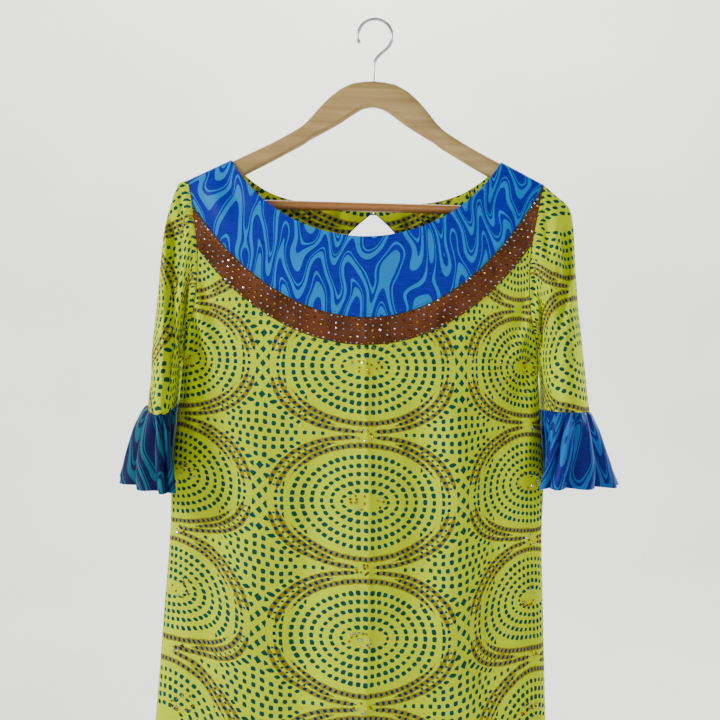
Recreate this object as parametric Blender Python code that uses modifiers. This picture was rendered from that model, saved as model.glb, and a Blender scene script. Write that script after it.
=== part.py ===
"""A wax print dress hanging on a wooden hanger.

Metres, +Z up, with the origin where the hook sits on its rail. +X is the viewer's right and the front of
the dress faces -Y. The cloth is hollow: every piece is one wall as thick as WALL, cut as a maker cuts it.
The sizes are in millimetres and in the dress's own frame, whose middle lies HANGER_SHIFT left of the hook.
"""

import math
from typing import NamedTuple

import bmesh
import bpy
import numpy as np

NAME = "wax_print_dress_on_hanger"
MM = 0.001

# The cloth
WALL = 1.6
SEAM = 0.36
REST_GAP = 0.3
HANGER_SHIFT = 6.0

# The shoulders: each seam runs from the neck corner to the shoulder point, down the hanger's arm
SHOULDER_Z = -162.0
NECK_HALF = 155.0
SHOULDER_HALF = 204.0
SHOULDER_SLOPE = 0.5
FRONT_NECK_DROP = 90.0
BACK_NECK_DROP = 47.0
UNDERARM_Z = -372.0
HEM_Z = -1122.0

# How the panels leave the arm: a quarter turn round it, then an easing out to their full depth
TURN = 8.5
EASE_LENGTH = 105.0
SIDE_POWER = 2.3
SPARE_WIDTH = 62.0
SPARE_HEIGHT = 95.0
HOLD_HEIGHT = 60.0


class BodyRow(NamedTuple):
    """Half width, and how far the front and the back stand off the middle, at one height."""

    z: float
    half_width: float
    front: float
    back: float
    crease: float
    flute: float


BODY_ROWS = (
    BodyRow(-160.0, 203.0, 44.0, 37.0, 0.0, 0.0),
    BodyRow(-372.0, 203.0, 44.0, 37.0, 0.8, 0.0),
    BodyRow(-437.0, 207.0, 44.0, 38.0, 2.0, 0.3),
    BodyRow(-534.0, 214.0, 43.0, 38.0, 3.2, 0.8),
    BodyRow(-575.0, 213.5, 42.0, 38.0, 3.8, 1.2),
    BodyRow(-680.0, 218.0, 46.0, 43.0, 4.5, 2.5),
    BodyRow(-900.0, 229.0, 50.0, 48.0, 4.5, 6.0),
    BodyRow(-1122.0, 238.0, 52.0, 50.0, 4.5, 9.0),
)

# The armhole: share of the way from the shoulder point to the underarm, and the panel's half width there
ARMHOLE_ROWS = (
    (0.00, 204.0), (0.10, 199.5), (0.20, 196.0), (0.40, 189.5), (0.58, 187.5), (0.74, 189.0),
    (0.88, 194.0), (1.00, 203.0),
)

# Folds down the panels: where each lies across the panel, how wide it is, and its share of the flute depth
FRONT_FLUTES = ((-150.0, 34.0, 0.8), (-62.0, 30.0, -0.7), (70.0, 32.0, -0.8), (146.0, 36.0, 0.9))
BACK_FLUTES = ((-128.0, 36.0, 0.9), (-40.0, 34.0, -0.6), (36.0, 30.0, 0.8), (132.0, 34.0, -0.8))
CREASE_WIDTH = 42.0

# The two edges of the band: height at the middle, square term, fourth-power term, and the slip to one side
BAND_TOP = (-343.2, 3.0e-3, 1.2e-8, 12.0)
BAND_FOOT = (-374.0, 2.7e-3, 1.2e-8, 8.0)
BAND_RAISE = 0.4

# The keyhole at the centre back, under a slit that a button and a loop close
KEYHOLE_X = 10.0
KEYHOLE_HALF = 38.0
KEYHOLE_TOP = 8.0
SLIT_HALF = 0.5
BUTTON_RADIUS = 4.6
BUTTON_HEIGHT = 3.6
LOOP_CORD = 0.8


class Sleeve(NamedTuple):
    """One sleeve and its ruffle, with X counted outwards from the middle of the dress."""

    side: int
    hem_z: float
    hem_tilt: float
    hem_middle: float
    hem_half: float
    hem_wrap: float
    hem_depth: float
    pinch: float
    reach: tuple
    cuff_middle: float
    cuff_half: float
    cuff_wrap: float
    cuff_depth: float
    flare: float


# How far out the sleeve's top line has come, as shares of its drop and of its reach
LEFT_REACH = ((0, 0), (0.012, 0.236), (0.039, 0.36), (0.1, 0.5), (0.2, 0.667), (0.38, 0.78), (0.56, 0.85),
              (0.73, 0.94), (1, 1))
RIGHT_REACH = ((0, 0), (0.019, 0.1), (0.06, 0.32), (0.08, 0.44), (0.108, 0.53), (0.16, 0.59), (0.25, 0.63),
               (0.39, 0.67), (0.51, 0.73), (0.62, 0.8), (0.79, 0.88), (0.91, 0.94), (1, 1))

SLEEVES = {
    "left": Sleeve(-1, -448.0, 0.15, 225.5, 15.5, 6.0, 62.0, 15.0, LEFT_REACH, 245.5, 24.5, 38.0, 70.0, 0.6),
    "right": Sleeve(1, -442.0, 0.0, 237.0, 26.0, 8.0, 60.0, 11.0, RIGHT_REACH, 259.0, 38.0, 48.0, 72.0, 0.95),
}
CUFF_LENGTH = 83.0
GATHERS = 13
# Depth of the gathers down a ruffle, by share of its length
GATHER_ROWS = ((0.0, 0.5), (0.12, 2.0), (0.5, 3.2), (1.0, 4.2))

# Where the loft's columns go: share round the armhole, and angle round the cuff
AROUND_ROWS = ((0.0, 0.0), (0.35, 90.0), (0.6, 145.0), (1.0, 180.0))
PINCH_AT = 0.62
PINCH_WIDTH = 0.14
BACK_PINCH = 0.5
UNDER_BULGE = 5.0

# How finely each piece is laid out
NECK_SHARES = (0.0, 0.11, 0.22, 0.33, 0.45, 0.57, 0.69, 0.8, 0.89, 0.95, 0.98, 0.993, 1.0)
SHOULDER_SHARES = (0.82, 0.87, 0.915, 0.95, 0.98, 1.0)
YOKE_ROWS = (0.0, 0.006, 0.022, 0.05, 0.09, 0.25, 0.55, 1.0)
BAND_ROWS = (0.0, 0.5, 1.0)
ARMHOLE_STEPS = 5
SKIRT_STEPS = 14
UNDERARM_DIP = 98.0
BACK_ROWS = (0.0, 0.004, 0.014, 0.03, 0.055, 0.1, 0.16, 0.24, 0.33, 0.43, 0.54, 0.65, 0.77, 0.88, 1.0)
KEYHOLE_FOOT_ROW = 11
SLEEVE_ROWS = (0.0, 0.012, 0.04, 0.08, 0.13, 0.2, 0.32, 0.45, 0.6, 0.75, 0.88, 1.0)
CUFF_ROWS = (0.0, 0.12, 0.32, 0.6, 1.0)
CUFF_COLUMNS = 72


class ArmRow(NamedTuple):
    """The hanger's arm at one distance from its middle: its top edge, its depth below that, and half its width."""

    x: float
    top: float
    depth: float
    half: float


ARM_ROWS = (
    ArmRow(0.0, -70.0, 30.0, 6.0), ArmRow(12.0, -70.6, 32.0, 6.0), ArmRow(25.0, -73.0, 38.0, 6.0),
    ArmRow(38.0, -79.5, 41.0, 6.0), ArmRow(50.0, -89.5, 38.0, 6.0), ArmRow(61.0, -101.0, 33.0, 6.0),
    ArmRow(71.0, -113.5, 26.0, 6.0), ArmRow(80.5, -123.5, 23.0, 6.0), ArmRow(93.5, -131.8, 22.0, 6.0),
    ArmRow(112.0, -142.5, 22.0, 6.0), ArmRow(132.0, -152.8, 22.5, 6.0), ArmRow(155.0, -164.3, 23.5, 6.0),
    ArmRow(168.0, -170.8, 24.0, 6.0), ArmRow(182.6, -178.1, 25.2, 6.0), ArmRow(183.2, -178.4, 44.4, 6.0),
    ArmRow(197.0, -186.3, 38.0, 5.2), ArmRow(204.0, -191.8, 31.0, 4.6), ArmRow(208.5, -197.5, 22.0, 3.6),
    ArmRow(210.5, -203.0, 11.0, 2.2),
)
ARM_SIDES = 14
BAR_RADIUS = 5.2
BAR_Z = -215.0
BAR_HALF = 182.4
BAR_SIDES = 16

# The hook: a steel wire, from its shank in the wood round to the free end
WIRE_RADIUS = 1.75
HOOK_RADIUS = 18.0
SHANK_TOP = -46.0
HOOK_TAIL = 25.0
HOOK_STEPS = 14


def smooth(rows, where):
    """Read a table of (place, value) rows as one smooth curve, held flat past its ends."""
    places = np.array([row[0] for row in rows], float)
    values = np.array([row[1] for row in rows], float)
    slopes = np.gradient(values, places)
    steps = np.diff(values) / np.diff(places)
    slopes[0] = steps[0]
    slopes[-1] = steps[-1]
    where = np.clip(np.asarray(where, float), places[0], places[-1])
    index = np.clip(np.searchsorted(places, where, side="right") - 1, 0, len(places) - 2)
    width = places[index + 1] - places[index]
    share = (where - places[index]) / width
    low, high = values[index], values[index + 1]
    rise = share * share * (3 - 2 * share)
    lean = share * (1 - share)
    return low + (high - low) * rise + width * lean * (slopes[index] * (1 - share) - slopes[index + 1] * share)


def ease(value):
    """A soft step from 0 to 1."""
    value = np.clip(value, 0.0, 1.0)
    return value * value * (3 - 2 * value)


def body_column(name, z):
    """One column of BODY_ROWS at the heights z."""
    rows = [(row.z, getattr(row, name)) for row in reversed(BODY_ROWS)]
    return smooth(rows, z)


def lean(x):
    """How much higher the cloth lies at x, because the hanger's middle is to one side."""
    return SHOULDER_SLOPE * HANGER_SHIFT * np.clip(x / NECK_HALF, -1, 1)


def ridge(x):
    """Height of the line that the shoulders hang from, carried on across the neck."""
    reach = np.abs(x)
    over_neck = 0.5 * SHOULDER_SLOPE * NECK_HALF * (1 - (reach / NECK_HALF) ** 2)
    down_arm = -SHOULDER_SLOPE * (reach - NECK_HALF)
    return SHOULDER_Z + lean(x) + np.where(reach < NECK_HALF, over_neck, down_arm)


def shoulder_point_z(side):
    """Height of the shoulder point on one side, -1 or 1."""
    return float(ridge(np.array(side * SHOULDER_HALF)))


def edge_half(z, side):
    """Half width of a panel: its armhole edge above the underarm, its side seam below."""
    top = shoulder_point_z(side)
    share = np.clip((top - z) / (top - UNDERARM_Z), 0, 1)
    return np.where(z > UNDERARM_Z, smooth(ARMHOLE_ROWS, share), body_column("half_width", z))


def flutes(x, table):
    """Soft vertical folds across a panel, as a share of their full depth."""
    total = np.zeros_like(x)
    for place, width, share in table:
        total = total + share * np.exp(-((x - place) / width) ** 2)
    return total


def stand_off(x, z, face):
    """How far the outer surface stands from the middle plane; face is front or back."""
    drop = np.maximum(ridge(x) - z, 0.0)
    turn = np.clip(drop / TURN, 0, 1)
    roll = TURN * np.sqrt(1 - (1 - turn) ** 2)
    swell = (body_column(face, z) - TURN) * (1 - np.exp(-np.maximum(drop - TURN, 0) / EASE_LENGTH))
    spare = SPARE_WIDTH * ease((z - UNDERARM_Z) / SPARE_HEIGHT)
    reach = np.clip(np.abs(x) / (body_column("half_width", z) + spare), 0, 1)
    side = (1 - reach ** SIDE_POWER) ** (1 / SIDE_POWER)
    hold = ease((z - UNDERARM_Z) / HOLD_HEIGHT)
    table = FRONT_FLUTES if face == "front" else BACK_FLUTES
    folds = body_column("flute", z) * flutes(x, table)
    if face == "front":
        folds = folds + body_column("crease", z) * np.exp(-np.abs(x) / CREASE_WIDTH)
    return roll * (hold + (1 - hold) * side) + swell * side + folds * side


def panel_points(x, z, face, raised=0.0):
    """Points of a panel's outer surface, and its normals, in the dress's frame."""
    sign = -1.0 if face == "front" else 1.0
    probe = 0.4
    depth = stand_off(x, z, face)
    slope_x = (stand_off(x + probe, z, face) - stand_off(x - probe, z, face)) / (2 * probe)
    slope_z = (stand_off(x, z + probe, face) - stand_off(x, z - probe, face)) / (2 * probe)
    across = np.where(depth < SEAM, 0.0, sign)
    slope_z = np.where((depth < SEAM) & (z > UNDERARM_Z), -4.0, slope_z)
    slope_x = np.where((depth < SEAM) & (z <= UNDERARM_Z), -4.0 * np.sign(x), slope_x)
    normals = np.stack([-slope_x, across, -slope_z], axis=-1)
    normals = normals / np.linalg.norm(normals, axis=-1, keepdims=True)
    points = np.stack([x, sign * np.maximum(depth, SEAM / 2), z], axis=-1)
    return points + raised * normals, normals


def band_line(x, line):
    """Height of one edge of the band at x."""
    middle, square, fourth, slip = line
    return middle + square * x ** 2 + fourth * x ** 4 + slip * (x / 200.0) ** 3


def front_neck(x):
    """Height of the front neckline, an arc between the neck corners."""
    radius = (NECK_HALF ** 2 + FRONT_NECK_DROP ** 2) / (2 * FRONT_NECK_DROP)
    reach = np.minimum(np.abs(x), NECK_HALF)
    return SHOULDER_Z + lean(x) - np.sqrt(radius ** 2 - reach ** 2) + math.sqrt(radius ** 2 - NECK_HALF ** 2)


def back_neck(x):
    """Height of the back neckline, flatter and higher than the front one."""
    share = np.minimum(np.abs(x) / NECK_HALF, 1)
    return SHOULDER_Z + lean(x) - BACK_NECK_DROP * (1 - share ** 4)


def shares():
    """Where the columns of half a panel lie, as shares of its half width."""
    corner = NECK_HALF / SHOULDER_HALF
    return np.array([corner * share for share in NECK_SHARES] + list(SHOULDER_SHARES))


def column_x(share, z, side, middle=0.0, gap=0.0):
    """X of a column at height z, pushed away from a middle line or a gap in it."""
    corner = NECK_HALF / SHOULDER_HALF
    near = np.clip(1 - share / corner, 0, 1) ** 2
    return side * share * edge_half(z, side) + (middle + side * gap) * near


def settle(height, share, side, middle=0.0, gap=0.0):
    """The height where a column meets the curve z = height(x)."""
    z = np.full_like(share, -250.0)
    for _ in range(12):
        z = height(column_x(share, z, side, middle, gap))
    return z


def top_edge(neck):
    """A panel's top edge: its neckline, then the shoulder seam."""
    return lambda x: np.where(np.abs(x) < NECK_HALF, neck(x), ridge(x))


def front_sides():
    """The front panel's half columns as (side, shares), from the left edge to the right one."""
    half = shares()
    return np.concatenate([-half[:0:-1], half])


def front_rows(upper, lower, fractions):
    """Heights of a front piece's rows between two edge curves, one column for each share."""
    signed = front_sides()
    share = np.abs(signed)
    side = np.where(signed < 0, -1.0, 1.0)
    tops = np.empty_like(share)
    feet = np.empty_like(share)
    for each in (-1.0, 1.0):
        pick = side == each
        tops[pick] = settle(upper, share[pick], each)
        feet[pick] = settle(lower, share[pick], each)
    heights = np.array([tops + (feet - tops) * fraction for fraction in fractions])
    return heights, share, side


def front_grid(heights, share, side, raised=0.0):
    """Outer points and normals of a front piece from its rows' heights."""
    x = np.empty_like(heights)
    for each in (-1.0, 1.0):
        pick = side == each
        x[:, pick] = column_x(share[pick], heights[:, pick], each)
    return panel_points(x, heights, "front", raised)


def yoke_grid():
    """The yoke: from the neckline and shoulder seams down to the band."""
    heights, share, side = front_rows(top_edge(front_neck), lambda x: band_line(x, BAND_TOP) + SEAM / 2,
                                      YOKE_ROWS)
    return front_grid(heights, share, side)


def band_grid(raised=BAND_RAISE):
    """The band under the yoke, tapering to the armholes and standing a little proud."""
    heights, share, side = front_rows(lambda x: band_line(x, BAND_TOP) - SEAM / 2,
                                      lambda x: band_line(x, BAND_FOOT) + SEAM / 2, BAND_ROWS)
    return front_grid(heights, share, side, raised)


def skirt_rows(tops, share, steps, dip):
    """Rows from a top edge to the underarm's row, then down to the hem."""
    underarm = UNDERARM_Z - dip * (1 - share ** 2)
    upper = [tops + (underarm - tops) * fraction for fraction in steps]
    lower = [underarm + (HEM_Z - underarm) * step / SKIRT_STEPS for step in range(1, SKIRT_STEPS + 1)]
    return np.array(upper + lower)


def body_front_grid():
    """The front below the band."""
    tops, share, side = front_rows(lambda x: band_line(x, BAND_FOOT) - SEAM / 2,
                                   lambda x: band_line(x, BAND_FOOT) - SEAM / 2, (0.0,))
    steps = [step / ARMHOLE_STEPS for step in range(ARMHOLE_STEPS + 1)]
    heights = skirt_rows(tops[0], share, steps, UNDERARM_DIP)
    return front_grid(heights, share, side)


def keyhole_half(row):
    """Half width of the slit and the keyhole at one of the back's rows."""
    if row >= KEYHOLE_FOOT_ROW:
        return 0.0
    height = SHOULDER_Z - BACK_NECK_DROP - UNDERARM_Z
    drop = BACK_ROWS[row] * height
    foot = BACK_ROWS[KEYHOLE_FOOT_ROW] * height
    share = (drop - KEYHOLE_TOP) / (foot - KEYHOLE_TOP)
    if share <= 0:
        return SLIT_HALF
    if share < 0.5:
        return max(SLIT_HALF, KEYHOLE_HALF * math.sin(math.pi * share))
    return KEYHOLE_HALF * math.sqrt(1 - (2 * share - 1) ** 2)


def back_half(side):
    """One half of the back, from the middle line outwards, as (points, normals)."""
    share = shares()
    tops = settle(top_edge(back_neck), share, side, KEYHOLE_X, SLIT_HALF)
    heights = skirt_rows(tops, share, BACK_ROWS, 0.0)
    gaps = np.array([keyhole_half(row) for row in range(len(heights))])
    x = np.array([column_x(share, z, side, KEYHOLE_X, gap) for z, gap in zip(heights, gaps)])
    return panel_points(x, heights, "back")


def quads_of(index):
    """Faces between the neighbouring rows and columns of a grid of vertex numbers."""
    return np.stack([index[:-1, :-1], index[:-1, 1:], index[1:, 1:], index[1:, :-1]], axis=-1).reshape(-1, 4)


def wall_object(name, points, normals, quads, thickness, material):
    """A closed wall: the outer surface, the same surface moved in, and a rim along each free edge."""
    count = len(points)
    inner = points - normals * thickness
    outer = np.asarray(quads)
    middle = points[outer].mean(axis=1)
    edge_one = points[outer[:, 2]] - points[outer[:, 0]]
    edge_two = points[outer[:, 3]] - points[outer[:, 1]]
    facing = np.einsum("ij,ij->i", np.cross(edge_one, edge_two), normals[outer].mean(axis=1))
    if facing.sum() < 0:
        outer = outer[:, ::-1]
    faces = [tuple(int(v) for v in quad) for quad in outer]
    directed = {(quad[k], quad[(k + 1) % 4]) for quad in faces for k in range(4)}
    rim = [(b, a, a + count, b + count) for a, b in directed if (b, a) not in directed]
    closed = faces + [tuple(v + count for v in quad[::-1]) for quad in faces] + sorted(rim)
    mesh = bpy.data.meshes.new(name)
    everything = np.concatenate([points, inner])
    everything[:, 0] -= HANGER_SHIFT
    mesh.from_pydata((everything * MM).tolist(), [], closed)
    mesh.update()
    mesh.shade_smooth()
    mesh.set_sharp_from_angle(angle=math.radians(50))
    return place(bpy.data.objects.new(name, mesh), material)


def place(obj, material):
    """Put an object in the part's collection with its material."""
    obj.data.materials.append(material)
    bpy.data.collections[NAME].objects.link(obj)
    return obj


def finish(name, colour, roughness, metallic=0.0):
    """A plain Principled material."""
    material = bpy.data.materials.new(name)
    material.use_nodes = True
    shader = material.node_tree.nodes["Principled BSDF"]
    shader.inputs["Base Color"].default_value = (*colour, 1.0)
    shader.inputs["Roughness"].default_value = roughness
    shader.inputs["Metallic"].default_value = metallic
    material.diffuse_color = (*colour, 1.0)
    return material


def panel_object(name, grid, material, thickness=WALL):
    """A wall from one whole grid."""
    points, normals = grid
    index = np.arange(points.shape[0] * points.shape[1]).reshape(points.shape[:2])
    return wall_object(name, points.reshape(-1, 3), normals.reshape(-1, 3), quads_of(index), thickness, material)


def back_object(material):
    """The back, whose middle column is double beside the slit and the keyhole and single below them."""
    halves = [back_half(side) for side in (-1.0, 1.0)]
    rows, columns = halves[0][0].shape[:2]
    left = np.arange(rows * columns).reshape(rows, columns)
    right = left + rows * columns
    right[KEYHOLE_FOOT_ROW:, 0] = left[KEYHOLE_FOOT_ROW:, 0]
    points = np.concatenate([half[0].reshape(-1, 3) for half in halves])
    normals = np.concatenate([half[1].reshape(-1, 3) for half in halves])
    quads = np.concatenate([quads_of(left[:, ::-1]), quads_of(right)])
    used, new = np.unique(quads, return_inverse=True)
    return wall_object("body_back", points[used], normals[used], new.reshape(quads.shape), WALL, material)


def armhole_loop(side):
    """The armhole's outer edge and its normals: down the front from the shoulder point, then up the back."""
    column = 0 if side < 0 else -1
    front_parts = [yoke_grid(), band_grid(0.0), body_front_grid()]
    points = [part[0][:, column] for part in front_parts]
    normals = [part[1][:, column] for part in front_parts]
    points[2] = points[2][:ARMHOLE_STEPS + 1]
    normals[2] = normals[2][:ARMHOLE_STEPS + 1]
    front = np.concatenate([points[0], points[1][1:], points[2][1:]])
    front_normals = np.concatenate([normals[0], normals[1][1:], normals[2][1:]])
    back, back_normals = back_half(float(side))
    last = len(BACK_ROWS)
    back = back[:last, -1][::-1]
    back_normals = back_normals[:last, -1][::-1]
    loop = np.concatenate([front, back[1:-1]])
    loop_normals = np.concatenate([front_normals, back_normals[1:-1]])
    loop[0, 1] = 0.0
    loop[len(front) - 1, 1] = 0.0
    mirror = np.array([side, 1.0, 1.0])
    return loop * mirror, loop_normals * mirror, len(front)


def around(loop, front_count):
    """Share round each half of the armhole, 0 at the shoulder point and 1 at the underarm, - at the back."""
    steps = np.linalg.norm(np.diff(np.concatenate([loop, loop[:1]]), axis=0), axis=1)
    length = np.concatenate([[0.0], np.cumsum(steps)])
    front = length[:front_count] / length[front_count - 1]
    rest = (length[front_count:-1] - length[front_count - 1]) / (length[-1] - length[front_count - 1])
    return np.concatenate([front, rest - 1])


def ring(middle, half, wrap, depth, angle):
    """Plan of a cuff: an oval whose front and back bend in round the side of the body."""
    x = middle + half * np.cos(angle) - wrap * np.sin(angle) ** 2
    return x, -depth * np.sin(angle)


def cuff_angle(share):
    """Angle round the cuff of each signed share round the armhole."""
    return np.sign(share) * np.radians(smooth(AROUND_ROWS, np.abs(share)))


def sleeve_grid(sleeve):
    """The sleeve: a loft from the armhole out over the arm's tip and down to the cuff."""
    loop, loop_normals, front_count = armhole_loop(sleeve.side)
    share = around(loop, front_count)
    angle = cuff_angle(share)
    hem_x, hem_y = ring(sleeve.hem_middle, sleeve.hem_half, sleeve.hem_wrap, sleeve.hem_depth, angle)
    hem_z = sleeve.hem_z + sleeve.hem_tilt * hem_y
    crown = np.exp(-(share / 0.16) ** 2)
    under = np.exp(-((np.abs(share) - PINCH_AT) / PINCH_WIDTH) ** 2)
    strength = np.where(share >= 0, 1.0, -BACK_PINCH) * sleeve.pinch
    hang = UNDER_BULGE * ease((np.abs(share) - 0.4) / 0.3)
    rows = []
    for t in SLEEVE_ROWS:
        top_line = float(smooth(sleeve.reach, t))
        out = crown * top_line + (1 - crown) * t ** 0.45
        x = loop[:, 0] + (hem_x - loop[:, 0]) * out
        y = loop[:, 1] + (hem_y - loop[:, 1]) * t ** 0.6
        y = y + strength * under * math.sin(math.pi * t ** 0.7) ** 2
        z = loop[:, 2] + (hem_z - loop[:, 2]) * t
        bulge = (hang * min(1.0, (t / 0.04) ** 0.7) * (1 - t) ** 2)[:, None]
        rows.append(np.stack([x, y, z], axis=-1) + bulge * loop_normals)
    grid = np.array(rows)
    leave = grid[1] - grid[0]
    leave /= np.linalg.norm(leave, axis=-1, keepdims=True)
    grid[0] += SEAM * leave
    normals = grid_normals(grid)
    rise = np.einsum("ij,ij->i", loop_normals, leave)
    own = ease(rise / 0.5)[:, None]
    normals[0] = unit(loop_normals * (1 - own) + normals[0] * own)
    normals[-1] = in_plane(normals[-1], sleeve.hem_tilt)
    return grid, normals


def unit(vectors):
    """Vectors at length 1."""
    return vectors / np.linalg.norm(vectors, axis=-1, keepdims=True)


def in_plane(normals, tilt):
    """Normals laid into the plane of the cuff's seam."""
    plane = unit(np.array([0.0, -tilt, 1.0]))
    return unit(normals - np.einsum("ij,j->i", normals, plane)[:, None] * plane)


def grid_normals(grid):
    """Outward normals of a tube whose rows are closed rings, seen from outside with X outwards."""
    around_step = np.roll(grid, -1, axis=1) - np.roll(grid, 1, axis=1)
    down_step = np.gradient(grid, axis=0)
    return unit(np.cross(around_step, down_step))


def cuff_grid(sleeve):
    """The ruffle: from the sleeve's seam down, flaring, with its gathers as waves along its normals."""
    angle = np.linspace(0, 2 * math.pi, CUFF_COLUMNS, endpoint=False)
    rows = []
    for t in CUFF_ROWS:
        out = t ** sleeve.flare
        sizes = [a + (b - a) * out for a, b in (
            (sleeve.hem_middle, sleeve.cuff_middle), (sleeve.hem_half, sleeve.cuff_half),
            (sleeve.hem_wrap, sleeve.cuff_wrap), (sleeve.hem_depth, sleeve.cuff_depth))]
        x, y = ring(*sizes, angle)
        flat = np.stack([np.roll(y, 1) - np.roll(y, -1), np.roll(x, -1) - np.roll(x, 1)], axis=-1)
        flat = unit(flat)
        wave = float(smooth(GATHER_ROWS, t)) * np.cos(GATHERS * angle + 1.2 * math.sin(3 * t))
        z = sleeve.hem_z - SEAM + sleeve.hem_tilt * y - CUFF_LENGTH * t
        rows.append(np.stack([x + wave * flat[:, 0], y + wave * flat[:, 1], z + 0 * x], axis=-1))
    grid = np.array(rows)
    grid[0, :, 2] = sleeve.hem_z - SEAM + sleeve.hem_tilt * grid[0, :, 1]
    normals = grid_normals(grid)
    normals[0] = in_plane(normals[0], sleeve.hem_tilt)
    return grid, normals


def tube_object(name, grid, normals, side, material):
    """A wall from closed rings, mirrored to its own side of the dress."""
    mirror = np.array([side, 1.0, 1.0])
    points = (grid * mirror).reshape(-1, 3)
    normals = (normals * mirror).reshape(-1, 3)
    index = np.arange(grid.shape[0] * grid.shape[1]).reshape(grid.shape[:2])
    index = np.concatenate([index, index[:, :1]], axis=1)
    return wall_object(name, points, normals, quads_of(index), WALL, material)


def face_outwards(mesh):
    """Turn every face of a closed mesh to point outwards."""
    work = bmesh.new()
    work.from_mesh(mesh)
    bmesh.ops.recalc_face_normals(work, faces=work.faces)
    work.to_mesh(mesh)
    work.free()


def hanger_arms(material):
    """The wooden arms in one piece: upright rounded sections lofted from tip to tip."""
    tables = {name: [(row.x, getattr(row, name)) for row in ARM_ROWS] for name in ("top", "depth", "half")}
    half = [row.x for row in ARM_ROWS]
    stations = [-x for x in half[:0:-1]] + half
    turns = np.arange(ARM_SIDES) * 2 * math.pi / ARM_SIDES
    rings = []
    for x in stations:
        top = float(smooth(tables["top"], abs(x)))
        depth = float(smooth(tables["depth"], abs(x)))
        width = float(smooth(tables["half"], abs(x)))
        round_z = min(width, depth / 2)
        upper = np.cos(turns) >= 0
        centre = np.where(upper, top - round_z, top - depth + round_z)
        rings.append(np.stack([np.full(ARM_SIDES, float(x)), width * np.sin(turns),
                               centre + round_z * np.cos(turns)], axis=-1))
    points = np.concatenate(rings)
    index = np.arange(len(points)).reshape(len(stations), ARM_SIDES)
    wrapped = np.concatenate([index, index[:, :1]], axis=1)
    faces = [tuple(int(v) for v in quad) for quad in quads_of(wrapped)]
    faces += [tuple(int(v) for v in index[0]), tuple(int(v) for v in index[-1])]
    mesh = bpy.data.meshes.new("hanger_body")
    mesh.from_pydata((points * MM).tolist(), [], faces)
    face_outwards(mesh)
    mesh.shade_smooth()
    mesh.set_sharp_from_angle(angle=math.radians(50))
    return place(bpy.data.objects.new("hanger_body", mesh), material)


def hanger_bar(material):
    """The round bar between the arms' lower ends."""
    bpy.ops.mesh.primitive_cylinder_add(vertices=BAR_SIDES, radius=BAR_RADIUS * MM, depth=2 * BAR_HALF * MM,
                                        location=(0, 0, BAR_Z * MM), rotation=(0, math.pi / 2, 0))
    bar = bpy.context.object
    bar.name = "hanger_bar"
    for collection in list(bar.users_collection):
        collection.objects.unlink(bar)
    return place(bar, material)


def wire(name, path, radius, material):
    """A round wire along a list of points, as a curve with filled ends."""
    curve = bpy.data.curves.new(name, "CURVE")
    curve.dimensions = "3D"
    curve.bevel_depth = radius * MM
    curve.bevel_resolution = 2
    curve.use_fill_caps = True
    spline = curve.splines.new("POLY")
    spline.points.add(len(path) - 1)
    for point, place_at in zip(spline.points, path):
        point.co = (*(value * MM for value in place_at), 1.0)
    return place(bpy.data.objects.new(name, curve), material)


def hanger_hook(material):
    """The wire hook: up from the wood, out to one side, over the rail and down to its free end."""
    radius = HOOK_RADIUS + WIRE_RADIUS
    centre_z = -HOOK_RADIUS
    foot = ARM_ROWS[0].top + REST_GAP
    path = [(0.0, 0.0, foot), (0.0, 0.0, SHANK_TOP - 6.0), (1.5, 0.0, SHANK_TOP)]
    start = math.radians(-52)
    end = math.radians(180 + HOOK_TAIL)
    for step in range(HOOK_STEPS + 1):
        turn = start + (end - start) * step / HOOK_STEPS
        path.append((radius * math.cos(turn), 0.0, centre_z + radius * math.sin(turn)))
    return wire("hanger_hook", path, WIRE_RADIUS, material)


def closure(cloth, shell):
    """The covered button left of the slit and the thread loop round it from the right."""
    z = SHOULDER_Z - BACK_NECK_DROP - 5.0
    button_x = KEYHOLE_X - SLIT_HALF - BUTTON_RADIUS - 1.2
    face = max(float(stand_off(np.array(button_x + dx), np.array(z + dz), "back"))
               for dx in (-BUTTON_RADIUS, 0.0, BUTTON_RADIUS) for dz in (-BUTTON_RADIUS, 0.0, BUTTON_RADIUS))
    seat = face + REST_GAP
    profile = [(0.0, 0.0), (0.72, 0.0), (1.0, 0.35), (0.86, 0.78), (0.45, 1.0), (0.0, 1.06)]
    mesh = bpy.data.meshes.new("back_button")
    points = [((button_x - HANGER_SHIFT + r * BUTTON_RADIUS) * MM, (seat + h * BUTTON_HEIGHT) * MM, z * MM)
              for r, h in profile]
    mesh.from_pydata(points, [(k, k + 1) for k in range(len(points) - 1)], [])
    button = place(bpy.data.objects.new("back_button", mesh), shell)
    turn_about_y(button, (button_x - HANGER_SHIFT) * MM, z * MM)
    loop_radius = BUTTON_RADIUS + LOOP_CORD + REST_GAP
    lie = seat + 2 * LOOP_CORD
    start_x = KEYHOLE_X + SLIT_HALF + 3.0
    path = [(start_x - HANGER_SHIFT, lie, z - loop_radius)]
    for step in range(9):
        turn = math.radians(-90 - 180 * step / 8)
        path.append((button_x - HANGER_SHIFT + loop_radius * math.cos(turn), lie, z + loop_radius * math.sin(turn)))
    path.append((start_x - HANGER_SHIFT, lie, z + loop_radius))
    wire("back_loop", path, LOOP_CORD, cloth)


def turn_about_y(obj, x, z):
    """Turn a profile about an axis along Y through (x, z)."""
    axis = bpy.data.objects.new(obj.name + "_axis", None)
    axis.location = (x, 0.0, z)
    bpy.data.collections["guides"].objects.link(axis)
    axis.hide_render = True
    screw = obj.modifiers.new("turn", "SCREW")
    screw.axis = "Y"
    screw.object = axis
    screw.steps = 14
    screw.render_steps = 14
    screw.use_normal_flip = True
    screw.use_merge_vertices = True
    screw.merge_threshold = 0.00001


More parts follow.
